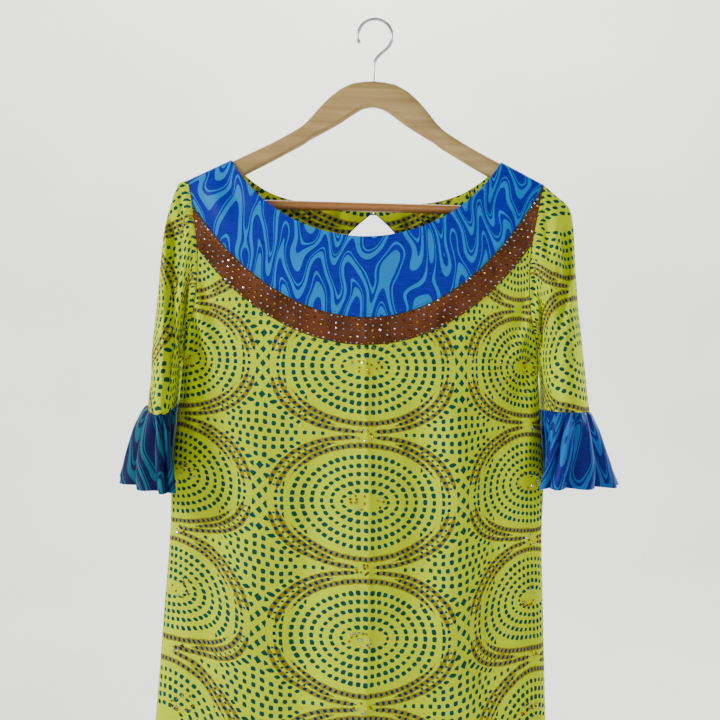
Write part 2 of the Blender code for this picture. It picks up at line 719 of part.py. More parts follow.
def clear_scene():
    """Remove the scene's objects and make the part's collections."""
    for obj in list(bpy.data.objects):
        bpy.data.objects.remove(obj, do_unlink=True)
    for name in (NAME, "guides"):
        collection = bpy.data.collections.new(name)
        bpy.context.scene.collection.children.link(collection)


def build():
    """Model every piece."""
    clear_scene()
    print_cloth = finish("dotted_wax_print", (0.52, 0.56, 0.05), 0.62)
    swirl_cloth = finish("swirl_wax_print", (0.01, 0.11, 0.50), 0.55)
    suede = finish("brown_suede", (0.17, 0.06, 0.02), 0.85)
    beech = finish("beech", (0.50, 0.36, 0.18), 0.5)
    bar_wood = finish("bar_wood", (0.45, 0.22, 0.09), 0.5)
    steel = finish("steel_wire", (0.62, 0.62, 0.62), 0.25, 1.0)
    panel_object("yoke_front", yoke_grid(), swirl_cloth)
    panel_object("neck_band", band_grid(), suede, WALL + BAND_RAISE)
    panel_object("body_front", body_front_grid(), print_cloth)
    back_object(print_cloth)
    for name, sleeve in SLEEVES.items():
        tube_object(f"sleeve_{name}", *sleeve_grid(sleeve), sleeve.side, print_cloth)
        tube_object(f"cuff_ruffle_{name}", *cuff_grid(sleeve), sleeve.side, swirl_cloth)
    closure(swirl_cloth, swirl_cloth)
    hanger_arms(beech)
    hanger_bar(bar_wood)
    hanger_hook(steel)


build()
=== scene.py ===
"""Looks of a wax print dress on a wooden hanger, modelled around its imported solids.

The frame is in metres with +Z up. The dress is worked out in millimetres in its own frame, whose middle lies
HANGER_SHIFT to the left of the hook. The front faces -Y, and LEFT and RIGHT are the viewer's.
"""

from __future__ import annotations

import logging
import math
from dataclasses import dataclass, field
from enum import Enum
from typing import Any, Callable, Mapping, NamedTuple, Sequence

import bpy
import numpy as np
from mathutils import Matrix, Vector

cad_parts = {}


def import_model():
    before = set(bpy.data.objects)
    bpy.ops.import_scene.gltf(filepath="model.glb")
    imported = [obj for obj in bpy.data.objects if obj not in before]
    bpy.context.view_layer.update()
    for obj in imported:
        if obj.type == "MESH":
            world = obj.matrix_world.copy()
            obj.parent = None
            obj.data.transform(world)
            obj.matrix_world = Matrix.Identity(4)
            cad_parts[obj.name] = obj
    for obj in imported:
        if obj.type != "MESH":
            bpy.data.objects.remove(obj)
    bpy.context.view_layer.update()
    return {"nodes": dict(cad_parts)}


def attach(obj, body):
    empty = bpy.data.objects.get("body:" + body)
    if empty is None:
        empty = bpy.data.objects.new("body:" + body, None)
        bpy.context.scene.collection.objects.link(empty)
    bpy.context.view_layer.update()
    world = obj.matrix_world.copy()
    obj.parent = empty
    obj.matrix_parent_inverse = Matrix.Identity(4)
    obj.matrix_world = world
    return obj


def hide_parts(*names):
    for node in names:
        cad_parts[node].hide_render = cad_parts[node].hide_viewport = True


LOG = logging.getLogger("dress")
MM = 0.001
HANGER_SHIFT = 6.0
CLOTH_UV = "cloth"
Grid = np.ndarray
Rows = Sequence[tuple[float, float]]


class Face(Enum):
    """The two sides of the dress, with the sign of their Y."""

    FRONT = -1.0
    BACK = 1.0


class Fold(Enum):
    """How a crease is shaped: round, pressed to an edge, or lapped, which moves only its right side."""

    SOFT = "soft"
    PRESSED = "pressed"
    LAPPED = "lapped"


class Side(Enum):
    """The viewer's left and right, with the sign of their X."""

    LEFT = -1.0
    RIGHT = 1.0


# Helpers


def linear(code: str) -> tuple[float, float, float, float]:
    """Turn an sRGB hex colour into linear RGBA.

    Args:
        code: Six hex digits, such as "C8D02C".

    Returns:
        The linear colour with an alpha of 1.
    """
    parts = [int(code[k:k + 2], 16) / 255 for k in (0, 2, 4)]
    red, green, blue = (c / 12.92 if c <= 0.04045 else ((c + 0.055) / 1.055) ** 2.4 for c in parts)
    return red, green, blue, 1.0


def add_node(tree: bpy.types.NodeTree, kind: str, settings: Mapping[str, Any] | None = None,
             inputs: Mapping[Any, Any] | None = None) -> bpy.types.Node:
    """Add one node, with its settings, its constant inputs and its links.

    Args:
        tree: The material's node tree.
        kind: The node's type name without the ShaderNode in front.
        settings: Attributes of the node, or positions and colours of its colour ramp under "ramp".
        inputs: Input name or number to a socket that it is linked to, or to a constant.

    Returns:
        The new node.
    """
    node = tree.nodes.new("ShaderNode" + kind)
    for name, value in (settings or {}).items():
        if name == "ramp":
            while len(node.color_ramp.elements) < len(value):
                node.color_ramp.elements.new(0.5)
            for stop, (place, colour) in zip(node.color_ramp.elements, value):
                stop.position = place
                stop.color = colour
        else:
            setattr(node, name, value)
    for name, value in (inputs or {}).items():
        if isinstance(value, bpy.types.NodeSocket):
            tree.links.new(value, node.inputs[name])
        else:
            node.inputs[name].default_value = value
    return node


def smooth(rows: Rows, where: Any) -> Grid:
    """Read a table of (place, value) rows as one smooth curve, held flat past its ends.

    Args:
        rows: The table, by rising place.
        where: The places to read it at.

    Returns:
        The values there.
    """
    places = np.array([row[0] for row in rows], float)
    values = np.array([row[1] for row in rows], float)
    slopes = np.gradient(values, places)
    steps = np.diff(values) / np.diff(places)
    slopes[0] = steps[0]
    slopes[-1] = steps[-1]
    where = np.clip(np.asarray(where, float), places[0], places[-1])
    index = np.clip(np.searchsorted(places, where, side="right") - 1, 0, len(places) - 2)
    width = places[index + 1] - places[index]
    share = (where - places[index]) / width
    rise = share * share * (3 - 2 * share)
    lean = share * (1 - share)
    bend = slopes[index] * (1 - share) - slopes[index + 1] * share
    return values[index] + (values[index + 1] - values[index]) * rise + width * lean * bend


def ease(value: Any) -> Grid:
    """A soft step from 0 to 1."""
    value = np.clip(value, 0.0, 1.0)
    return value * value * (3 - 2 * value)


def unit(vectors: Grid) -> Grid:
    """Vectors at length 1."""
    return vectors / np.maximum(np.linalg.norm(vectors, axis=-1, keepdims=True), 1e-9)


def grid_normals(grid: Grid, ring: bool) -> Grid:
    """Normals of a grid of points, worked out from its neighbours.

    Args:
        grid: Rows of points.
        ring: Whether each row closes on itself.

    Returns:
        Unit normals, to the side that rows going down and columns going to +X show to -Y.
    """
    across = np.roll(grid, -1, axis=1) - np.roll(grid, 1, axis=1) if ring else np.gradient(grid, axis=1)
    down = np.gradient(grid, axis=0)
    return unit(np.cross(down, across))


# Finishes


class Step(NamedTuple):
    """One line of a formula that is built of Math nodes: its name, the operation and what goes in."""

    name: str
    operation: str
    inputs: tuple


@dataclass(frozen=True)
class Finish:
    """A finish: its name, the record's slot and the shader's own values."""

    name: str
    slot: str
    roughness: float
    sheen: float = 0.0
    metallic: float = 0.0
    coat: float = 0.0
    specular: float = 0.5

    def start(self) -> tuple[bpy.types.Material, bpy.types.NodeTree, bpy.types.Node]:
        """Make the material.

        Returns:
            The material, its node tree and its shader.
        """
        material = bpy.data.materials.new(self.name)
        material.use_nodes = True
        tree = material.node_tree
        shader = tree.nodes["Principled BSDF"]
        values = {"Roughness": self.roughness, "Sheen Weight": self.sheen, "Metallic": self.metallic,
                  "Coat Weight": self.coat, "Specular IOR Level": self.specular}
        for name, value in values.items():
            shader.inputs[name].default_value = value
        return material, tree, shader

    def work_out(self, tree: bpy.types.NodeTree, steps: Sequence[Step], known: Mapping[str, Any]) -> dict:
        """Build a formula from its steps.

        Args:
            tree: The material's node tree.
            steps: The formula, each line using the names before it.
            known: Sockets that the formula starts from.

        Returns:
            Every name with its socket.
        """
        values = dict(known)
        for step in steps:
            inputs = {k: values.get(item, item) for k, item in enumerate(step.inputs)}
            values[step.name] = add_node(tree, "Math", {"operation": step.operation}, inputs).outputs[0]
        return values

    def weave(self, tree: bpy.types.NodeTree, shader: bpy.types.Node, uv: bpy.types.NodeSocket, thread: float,
              depth: float) -> bpy.types.NodeSocket:
        """Give the shader the bump of a plain weave with soft handling creases.

        Args:
            tree: The material's node tree.
            shader: Its shader.
            uv: The cloth's coordinates, in metres.
            thread: Thread spacing in mm. Real threads, 0.35 mm apart, are finer than the render shows.
            depth: Height of the weave in mm.

        Returns:
            The value of the slubs, from 0 to 1, for the colour to follow.
        """
        scale = 314.16 / thread
        warp, weft = (add_node(tree, "TexWave", {"bands_direction": way},
                               {"Vector": uv, "Scale": scale, "Distortion": 0.6}) for way in "XY")
        slub = add_node(tree, "Mapping", {}, {"Vector": uv, "Scale": (60.0, 900.0, 1.0)})
        slub = add_node(tree, "TexNoise", {}, {"Vector": slub.outputs[0], "Scale": 1.0, "Detail": 2.0})
        soft = add_node(tree, "TexNoise", {}, {"Vector": uv, "Scale": 34.0, "Detail": 3.0, "Roughness": 0.55})
        cross = add_node(tree, "Math", {"operation": "ADD"}, {0: warp.outputs["Fac"], 1: weft.outputs["Fac"]})
        fine = add_node(tree, "Bump", {},
                        {"Strength": 0.35, "Distance": depth * MM, "Height": cross.outputs[0]})
        broad = add_node(tree, "Bump", {}, {"Strength": 0.5, "Distance": 1.6 * MM,
                                            "Height": soft.outputs["Fac"], "Normal": fine.outputs[0]})
        tree.links.new(broad.outputs[0], shader.inputs["Normal"])
        return slub.outputs["Fac"]


@dataclass(frozen=True)
class DottedWaxPrint(Finish):
    """Plain-woven cotton with a wax print of ovals: rings of dots inside three nested bands.

    The print is laid out in one quarter of a cell, mirrored all round. Across, wide and narrow ovals take
    turns.
    Sizes are in mm on the cloth. A crisp finish and a faint wax sheen come from the print's resin.
    """

    cell_half: float = 122.0
    wide_half: float = 112.0
    narrow_half: float = 92.0
    height_half: float = 75.0
    first_ring: float = 12.8
    ring_pitch: float = 9.4
    ring_longer: float = 13.0
    quarter_start: float = 10.2
    quarter_grow: float = 1.728
    dot_pitch: float = 8.4
    bead_pitch: float = 7.4
    bead_count: int = 18
    row_pitch: float = 8.6
    row_count: int = 19
    fan_pitch: float = 10.4
    fan_row_pitch: float = 9.6
    fan_length: float = 78.0
    diamond_width: float = 7.8
    diamond_height: float = 8.3
    side_rise: float = 0.153
    side_middle: float = 183.5
    side_foot: float = -330.0
    ground: str = "C9DE00"
    ground_deep: str = "BACC00"
    dot: str = "0C4A44"
    band: str = "8E8220"
    band_dot: str = "0A3552"

    def steps(self) -> list[Step]:
        """The print's formula, from u and v in mm, and wobble, grain, edge and size noises about 0.

        Returns:
            Steps whose values include dots, blues and bands, each 0 or 1.
        """
        return [
            *self.cell(), *self.rings(), *self.bands(), *self.beads(), *self.rows(), *self.fans(),
            *self.diamonds(),
            *self.chain("dots", "MAXIMUM", "ring_dots", "between_dots", "row_dots", "fan_dots",
                        "diamond_dots"),
        ]

    def cell(self) -> list[Step]:
        """Where a point lies in its quarter of a cell: p across and q up from an oval's middle.

        Returns:
            Its steps.
        """
        pitch = self.wide_half + self.narrow_half
        return [
            Step("u1", "MULTIPLY_ADD", ("wobble", 1.5, "u")),
            Step("v1", "MULTIPLY_ADD", ("grain", 1.5, "v")),
            Step("along", "PINGPONG", ("u1", pitch)),
            Step("back", "SUBTRACT", (pitch, "along")),
            Step("wide_p", "MULTIPLY", ("along", self.cell_half / self.wide_half)),
            Step("narrow_p", "MULTIPLY", ("back", self.cell_half / self.narrow_half)),
            Step("p", "MINIMUM", ("wide_p", "narrow_p")),
            # Towards the side seams the rows climb, the more the lower they lie
            Step("reach", "ABSOLUTE", ("u1", 0)),
            *self.taper("aside", "reach", 0.4 * pitch, 0.6 * pitch),
            Step("aside_2", "MULTIPLY", ("aside", "aside")),
            Step("aside_3", "MULTIPLY_ADD", ("aside", -2.0, 3.0)),
            Step("under", "SUBTRACT", ("v1", self.side_middle)),
            Step("under_to", "MAXIMUM", ("under", self.side_foot)),
            *self.chain("climb", "MULTIPLY", "aside_2", "aside_3", "under_to"),
            Step("v2", "MULTIPLY_ADD", ("climb", self.side_rise, "v1")),
            Step("q", "PINGPONG", ("v2", self.height_half)),
            Step("p2", "MULTIPLY", ("p", "p")),
            Step("q2", "MULTIPLY", ("q", "q")),
        ]

    def rings(self) -> list[Step]:
        """Rings of dots inside the oval, longer to each side than their height asks.

        Returns:
            Its steps.
        """
        return [
            Step("p_0", "MULTIPLY", ("p", 1 / 1.5)),
            *self.ring_size("rho_0", "p_0"),
            *self.ring_ratio("r_1", "rho_0"),
            Step("p_1", "DIVIDE", ("p", "r_1")),
            *self.ring_size("rho_1", "p_1"),
            *self.ring_ratio("r_2", "rho_1"),
            Step("p_2", "DIVIDE", ("p", "r_2")),
            *self.ring_size("rho", "p_2"),
            Step("p_3", "DIVIDE", ("p_2", "r_2")),
            *self.ring_size("slope", "p_3"),
            Step("angle", "ARCTAN2", ("q", "p_2")),
            Step("double", "MULTIPLY", ("angle", 2.0)),
            Step("sine", "SINE", ("double", 0)),
            Step("turned", "MULTIPLY_ADD", ("sine", -0.09, "angle")),
            Step("ring", "MULTIPLY_ADD", ("rho", 1 / self.ring_pitch, -self.first_ring / self.ring_pitch)),
            *self.nearest("ring"),
            Step("ring_wide", "MULTIPLY", ("ring_off", "rho")),
            Step("ring_true", "DIVIDE", ("ring_wide", "slope")),
            Step("ring_mm", "MULTIPLY", ("ring_true", self.ring_pitch)),
            # A whole number of dots fits each quarter ring, whose length grows evenly from ring to ring
            Step("quarter", "MULTIPLY_ADD", ("ring_n", self.quarter_grow * self.ring_pitch,
                                             self.quarter_start + self.quarter_grow * self.first_ring)),
            Step("count", "MULTIPLY", ("quarter", 1 / self.dot_pitch)),
            Step("count_n", "ROUND", ("count", 0)),
            Step("dot_turn", "MULTIPLY", ("turned", "count_n")),
            *self.spaced("dot", "dot_turn", 2 / math.pi, 0.5, self.dot_pitch),
            Step("level", "DIVIDE", ("p_2", "rho")),
            Step("level2", "POWER", ("level", 6.0)),
            Step("dot_0", "MULTIPLY_ADD", ("level2", 0.45, 2.7)),
            Step("dot_r", "MULTIPLY_ADD", ("size", 1.6, "dot_0")),
            *self.square_dot("in_dot", "ring_mm", "dot_mm", "dot_r"),
            Step("in_low", "GREATER_THAN", ("rho", 8.0)),
        ]

    def bands(self) -> list[Step]:
        """The three bands a, b and c, each with its distance, its taper to points and its stripe.

        Returns:
            Its steps.
        """
        return [
            Step("far2", "ADD", ("p2", "q2")),
            Step("far", "SQRT", ("far2", 0)),
            Step("far9", "MULTIPLY", ("far", 0.9)),
            *self.oval("a", 95.0, 63.0),
            *self.oval("b", 103.5, 69.0),
            Step("c_p", "MULTIPLY", ("p", 1 / 111.5)),
            Step("c_pp", "POWER", ("c_p", 2.3)),
            Step("c_q", "MULTIPLY", ("q", 1 / 72.0)),
            Step("c_qq", "POWER", ("c_q", 2.3)),
            Step("c_sum", "ADD", ("c_pp", "c_qq")),
            Step("c_f", "POWER", ("c_sum", 1 / 2.3)),
            *self.depth("c"),
            *self.taper("a_w", "p", 88.0, -22.0),
            *self.taper("b_w1", "p", 33.0, 16.0),
            *self.taper("b_w2", "q", 9.0, 8.0),
            Step("b_w", "MINIMUM", ("b_w1", "b_w2")),
            *self.taper("c_w1", "p", 8.0, 12.0),
            *self.taper("c_w2", "q", 13.0, 9.0),
            Step("c_w", "MINIMUM", ("c_w1", "c_w2")),
            *self.stripe("a", 2.9),
            *self.stripe("b", 2.8),
            *self.stripe("c", 2.7),
            *self.chain("bands", "MAXIMUM", "a_in", "b_in", "c_in"),
            # The rings of dots end at the inner band
            Step("in_edge", "MULTIPLY_ADD", ("a_w", 8.5, "a_d")),
            Step("in_edge2", "SUBTRACT", ("in_edge", "ring_mm")),
            Step("in_high", "LESS_THAN", ("in_edge2", 1.5)),
            *self.chain("ring_dots", "MULTIPLY", "in_dot", "in_low", "in_high"),
        ]

    def beads(self) -> list[Step]:
        """Blue dots along the bands.

        Returns:
            Its steps.
        """
        return [
            *self.spaced("bead", "turned", self.bead_count * 2 / math.pi, 0.5, self.bead_pitch),
            Step("b_stay", "GREATER_THAN", ("p", 95.0)),
            Step("b_keep", "MAXIMUM", ("b_w", "b_stay")),
            *self.on_band("a", "a_w"),
            *self.on_band("b", "b_keep"),
            *self.on_band("c", "c_w"),
            *self.chain("near", "MINIMUM", "a_near", "b_near", "c_near"),
            *self.square_dot("blues", "near", "bead_mm", 1.9),
        ]

    def rows(self) -> list[Step]:
        """Small dots between the outer bands, and the row of dots outside them.

        Returns:
            Its steps.
        """
        return [
            *self.spaced("row", "turned", self.row_count * 2 / math.pi, 0.5, self.row_pitch),
            Step("bc", "ADD", ("b_d", "c_d")),
            Step("bc_mm", "MULTIPLY", ("bc", 0.55)),
            *self.square_dot("bc_dot", "bc_mm", "row_mm", 1.6),
            Step("bc_from", "GREATER_THAN", ("p", 66.0)),
            Step("bc_low", "GREATER_THAN", ("q", 15.0)),
            *self.chain("between_dots", "MULTIPLY", "bc_dot", "bc_low", "bc_from"),
            Step("past", "SUBTRACT", ("p", 95.0)),
            Step("past2", "MAXIMUM", ("past", 0.0)),
            Step("past3", "MULTIPLY", ("past2", "past2")),
            Step("row_at", "MULTIPLY_ADD", ("past3", 0.0125, 6.2)),
            Step("row_far", "SUBTRACT", ("c_d", "row_at")),
            Step("row_r", "MULTIPLY_ADD", ("past2", 0.02, 2.3)),
            *self.square_dot("row_dot", "row_far", "row_mm", "row_r"),
            Step("row_from", "GREATER_THAN", ("p", 72.0)),
            Step("row_low", "GREATER_THAN", ("q", 28.0)),
            Step("row_to", "LESS_THAN", ("p", 115.0)),
            *self.chain("row_dots", "MULTIPLY", "row_dot", "row_from", "row_low", "row_to"),
        ]

    def fans(self) -> list[Step]:
        """Rows of dots that fan out along the line of the knots.

        Returns:
            Its steps.
        """
        return [
            Step("h", "SUBTRACT", (self.height_half, "q")),
            Step("fan", "SUBTRACT", (self.cell_half, "p")),
            Step("open", "MULTIPLY_ADD", ("fan", -0.006, 1.0)),
            Step("open2", "MAXIMUM", ("open", 0.3)),
            Step("g_true", "DIVIDE", ("h", "open2")),
            Step("g", "MULTIPLY", ("g_true", 1 / self.fan_row_pitch)),
            *self.nearest("g"),
            Step("g_mm", "MULTIPLY", ("g_off", self.fan_row_pitch)),
            Step("g_mm2", "MULTIPLY", ("g_mm", "open2")),
            Step("g_half", "MINIMUM", ("g_n", 1.0)),
            Step("g_shift", "MULTIPLY_ADD", ("g_half", 0.5, 0.5)),
            *self.spaced("fan", "fan", 1 / self.fan_pitch, "g_shift", self.fan_pitch),
            Step("fan_r", "MULTIPLY_ADD", ("open2", 1.6, 1.3)),
            *self.square_dot("fan_dot", "g_mm2", "fan_mm", "fan_r"),
            # Each dot stays whole or goes, by where its own middle lies
            Step("fan_at", "SUBTRACT", ("fan", "fan_mm")),
            Step("fan_to", "MULTIPLY_ADD", ("fan_at", -1 / 58, 1.0)),
            Step("fan_to2", "MAXIMUM", ("fan_to", 0.0)),
            Step("fan_to3", "POWER", ("fan_to2", 1.15)),
            Step("fan_top", "MULTIPLY_ADD", ("fan_to3", 32.0, 0.5)),
            Step("h_at", "SUBTRACT", ("h", "g_mm2")),
            Step("fan_in", "LESS_THAN", ("h_at", "fan_top")),
            Step("fan_end", "LESS_THAN", ("fan_at", self.fan_length)),
            *self.chain("fan_dots", "MULTIPLY", "fan_dot", "fan_in", "fan_end"),
        ]

    def diamonds(self) -> list[Step]:
        """Diamonds down the line between two columns of ovals, with one big one in the middle.

        Returns:
            Its steps.
        """
        return [
            Step("dx", "MULTIPLY", ("fan", 0.5 / self.diamond_width)),
            Step("dy", "MULTIPLY", ("q", 0.5 / self.diamond_height)),
            Step("dm", "ADD", ("dx", "dy")),
            Step("dn", "SUBTRACT", ("dx", "dy")),
            *self.nearest("dm"),
            *self.nearest("dn"),
            Step("dm_a", "ABSOLUTE", ("dm_off", 0)),
            Step("dn_a", "ABSOLUTE", ("dn_off", 0)),
            Step("d_max", "MAXIMUM", ("dm_a", "dn_a")),
            Step("d_size", "MULTIPLY_ADD", ("size", 0.1, 0.27)),
            Step("diamond", "LESS_THAN", ("d_max", "d_size")),
            Step("d_in", "GREATER_THAN", ("b_d", 9.0)),
            Step("d_low", "LESS_THAN", ("q", 27.0)),
            *self.chain("small", "MULTIPLY", "diamond", "d_in", "d_low"),
            Step("big_q", "SUBTRACT", ("q", 35.0)),
            Step("big_q2", "ABSOLUTE", ("big_q", 0)),
            Step("big_sum", "ADD", ("big_q2", "fan")),
            Step("big", "LESS_THAN", ("big_sum", 5.0)),
            Step("diamond_dots", "MAXIMUM", ("small", "big")),
        ]

    def chain(self, name: str, operation: str, *values: str) -> list[Step]:
        """One operation carried on over several values, such as a product of masks.

        Args:
            name: The last value's name.
            operation: The operation.
            values: What it runs over, in order.

        Returns:
            Its steps.
        """
        names = [values[0]] + [f"{name}_{number}" for number in range(2, len(values))] + [name]
        return [Step(new, operation, (old, value)) for old, new, value in zip(names, names[1:], values[1:])]

    def nearest(self, name: str) -> list[Step]:
        """The whole number nearest to a value, and how far the value is off it."""
        return [Step(name + "_n", "ROUND", (name, 0)), Step(name + "_off", "SUBTRACT", (name, name + "_n"))]

    def spaced(self, name: str, along: str, factor: float, start: Any, pitch: float) -> list[Step]:
        """How far a point is from the nearest of evenly spaced places.

        Args:
            name: Its name, without the _mm that the result ends in.
            along: The length or angle along which the places lie.
            factor: How many places there are for each unit of it.
            start: The share of a pitch by which they are shifted.
            pitch: The distance between two places in mm.

        Returns:
            Its steps.
        """
        return [
            Step(name + "_s", "MULTIPLY_ADD", (along, factor, start)),
            Step(name + "_f", "FRACT", (name + "_s", 0)),
            Step(name + "_mm", "MULTIPLY_ADD", (name + "_f", pitch, -pitch / 2)),
        ]

    def ring_size(self, name: str, across: str) -> list[Step]:
        """The height of the ring through a point, from its Q and its P squeezed to a circle's.

        Args:
            name: The name that the steps start with.
            across: The name of the P to use.

        Returns:
            Its steps.
        """
        return [
            Step(name + "_1", "MULTIPLY", (across, across)),
            Step(name + "_2", "ADD", (name + "_1", "q2")),
            Step(name, "SQRT", (name + "_2", 0)),
        ]

    def ring_ratio(self, name: str, height: str) -> list[Step]:
        """How much longer than high a ring is.

        Args:
            name: The name that the steps start with.
            height: The name of the ring's height.

        Returns:
            Its steps.
        """
        return [
            Step(name + "_1", "MULTIPLY_ADD", (height, 1.2, self.ring_longer)),
            Step(name, "DIVIDE", (name + "_1", height)),
        ]

    def square_dot(self, name: str, one: str, other: str, radius: Any) -> list[Step]:
        """A dot with soft corners, from two distances to its middle and its half width.

        Args:
            name: The dot's name.
            one: The name of the first distance.
            other: The name of the second distance.
            radius: The half width, as a number or a name.

        Returns:
            Its steps.
        """
        return [
            Step(name + "_1", "ABSOLUTE", (one, 0)),
            Step(name + "_2", "ABSOLUTE", (other, 0)),
            Step(name + "_3", "POWER", (name + "_1", 3.0)),
            Step(name + "_4", "POWER", (name + "_2", 3.0)),
            Step(name + "_5", "ADD", (name + "_3", name + "_4")),
            Step(name + "_6", "POWER", (name + "_5", 1 / 3)),
            Step(name, "LESS_THAN", (name + "_6", radius)),
        ]

    def oval(self, name: str, half: float, height: float) -> list[Step]:
        """The distance from an oval with these half sizes, out of it positive.

        Args:
            name: The band's letter.
            half: Half the size across, in mm.
            height: Half the size up, in mm.

        Returns:
            Its steps.
        """
        return [
            Step(name + "_e", "MULTIPLY", ("p2", 1 / half ** 2)),
            Step(name + "_g", "MULTIPLY_ADD", ("q2", 1 / height ** 2, name + "_e")),
            Step(name + "_f", "SQRT", (name + "_g", 0)),
            *self.depth(name),
        ]

    def depth(self, name: str) -> list[Step]:
        """The distance in mm from a curve on which NAME_f is 1.

        Args:
            name: The band's letter.

        Returns:
            Its steps.
        """
        return [
            Step(name + "_r", "DIVIDE", (1.0, name + "_f")),
            Step(name + "_s", "SUBTRACT", (1.0, name + "_r")),
            Step(name + "_d", "MULTIPLY", (name + "_s", "far9")),
            Step(name + "_abs", "ABSOLUTE", (name + "_d", 0)),
        ]

    def taper(self, name: str, along: str, start: float, length: float) -> list[Step]:
        """A share that grows from 0 at a start to 1 over a length, which may run backwards.

        Args:
            name: The name that the steps start with.
            along: The name of the value that it follows.
            start: Where it is 0.
            length: How far on it is 1.

        Returns:
            Its steps.
        """
        return [
            Step(name + "_t", "MULTIPLY_ADD", (along, 1 / length, -start / length)),
            Step(name + "_u", "MAXIMUM", (name + "_t", 0.0)),
            Step(name, "MINIMUM", (name + "_u", 1.0)),
        ]

    def stripe(self, name: str, half: float) -> list[Step]:
        """The band itself, with its edge made wavy by the edge noise.

        Args:
            name: The band's letter.
            half: Half the band's width, in mm.

        Returns:
            Its steps.
        """
        return [
            Step(name + "_h", "MULTIPLY_ADD", ("edge", 2.4, half)),
            Step(name + "_hw", "MULTIPLY", (name + "_h", name + "_w")),
            Step(name + "_in", "LESS_THAN", (name + "_abs", name + "_hw")),
        ]

    def on_band(self, name: str, width: str) -> list[Step]:
        """How far a point is from a band, counted only where that band is drawn.

        Args:
            name: The band's letter.
            width: The name of the band's width.

        Returns:
            Its steps.
        """
        return [
            Step(name + "_k1", "GREATER_THAN", (width, 0.25)),
            Step(name + "_k2", "SUBTRACT", (1.0, name + "_k1")),
            Step(name + "_near", "MULTIPLY_ADD", (name + "_k2", 50.0, name + "_abs")),
        ]

    def make(self, origin: tuple[float, float], turn: float) -> bpy.types.Material:
        """Make the material.

        Args:
            origin: Where an oval's middle lies on the cloth, in mm.
            turn: How much the print leans, as a slope.

        Returns:
            The material.
        """
        material, tree, shader = self.start()
        uv = add_node(tree, "UVMap", {"uv_map": CLOTH_UV}).outputs[0]
        apart = add_node(tree, "SeparateXYZ", {}, {0: uv})
        wobble = add_node(tree, "TexNoise", {}, {"Vector": uv, "Scale": 140.0, "Detail": 1.0})
        colour = add_node(tree, "SeparateColor", {}, {0: wobble.outputs["Color"]})
        edge = add_node(tree, "TexNoise", {}, {"Vector": uv, "Scale": 260.0, "Detail": 1.0})
        size = add_node(tree, "TexNoise", {}, {"Vector": uv, "Scale": 70.0, "Detail": 0.0})
        about = {"wobble": colour.outputs[0], "grain": colour.outputs[1], "edge": edge.outputs["Fac"],
                 "size": size.outputs["Fac"]}
        start = [Step(name, "SUBTRACT", (name, 0.5)) for name in about]
        start += [
            Step("u0", "MULTIPLY_ADD", ("x", 1000.0, -origin[0])),
            Step("v", "MULTIPLY_ADD", ("y", 1000.0, -origin[1])),
            Step("u_lean", "MULTIPLY_ADD", ("v", turn, "u0")),
            Step("u_left", "MINIMUM", ("u_lean", 0.0)),
            Step("u_near", "MULTIPLY_ADD", ("u_left", -0.07, "u_lean")),
            Step("u_past", "ADD", ("u_near", self.wide_half)),
            Step("u_side", "MINIMUM", ("u_past", 0.0)),
            Step("u", "MULTIPLY_ADD", ("u_side", -0.15, "u_near")),
        ]
        known = {**about, "x": apart.outputs[0], "y": apart.outputs[1]}
        value = self.work_out(tree, start + self.steps(), known)
        slub = self.weave(tree, shader, uv, 1.5, 0.12)
        shade = add_node(tree, "TexNoise", {}, {"Vector": uv, "Scale": 9.0, "Detail": 2.0})
        tone = add_node(tree, "Math", {"operation": "MULTIPLY_ADD"},
                        {0: slub, 1: 0.35, 2: shade.outputs["Fac"]})
        ramp = [(0.35, linear(self.ground_deep)), (0.85, linear(self.ground))]
        ground = add_node(tree, "ValToRGB", {"ramp": ramp}, {0: tone.outputs[0]})
        layers = ground.outputs[0]
        for mask, paint in (("bands", self.band), ("dots", self.dot), ("blues", self.band_dot)):
            mix = add_node(tree, "Mix", {"data_type": "RGBA"},
                           {"Factor": value[mask], "A": layers, "B": linear(paint)})
            layers = mix.outputs["Result"]
        tree.links.new(layers, shader.inputs["Base Color"])
        return material


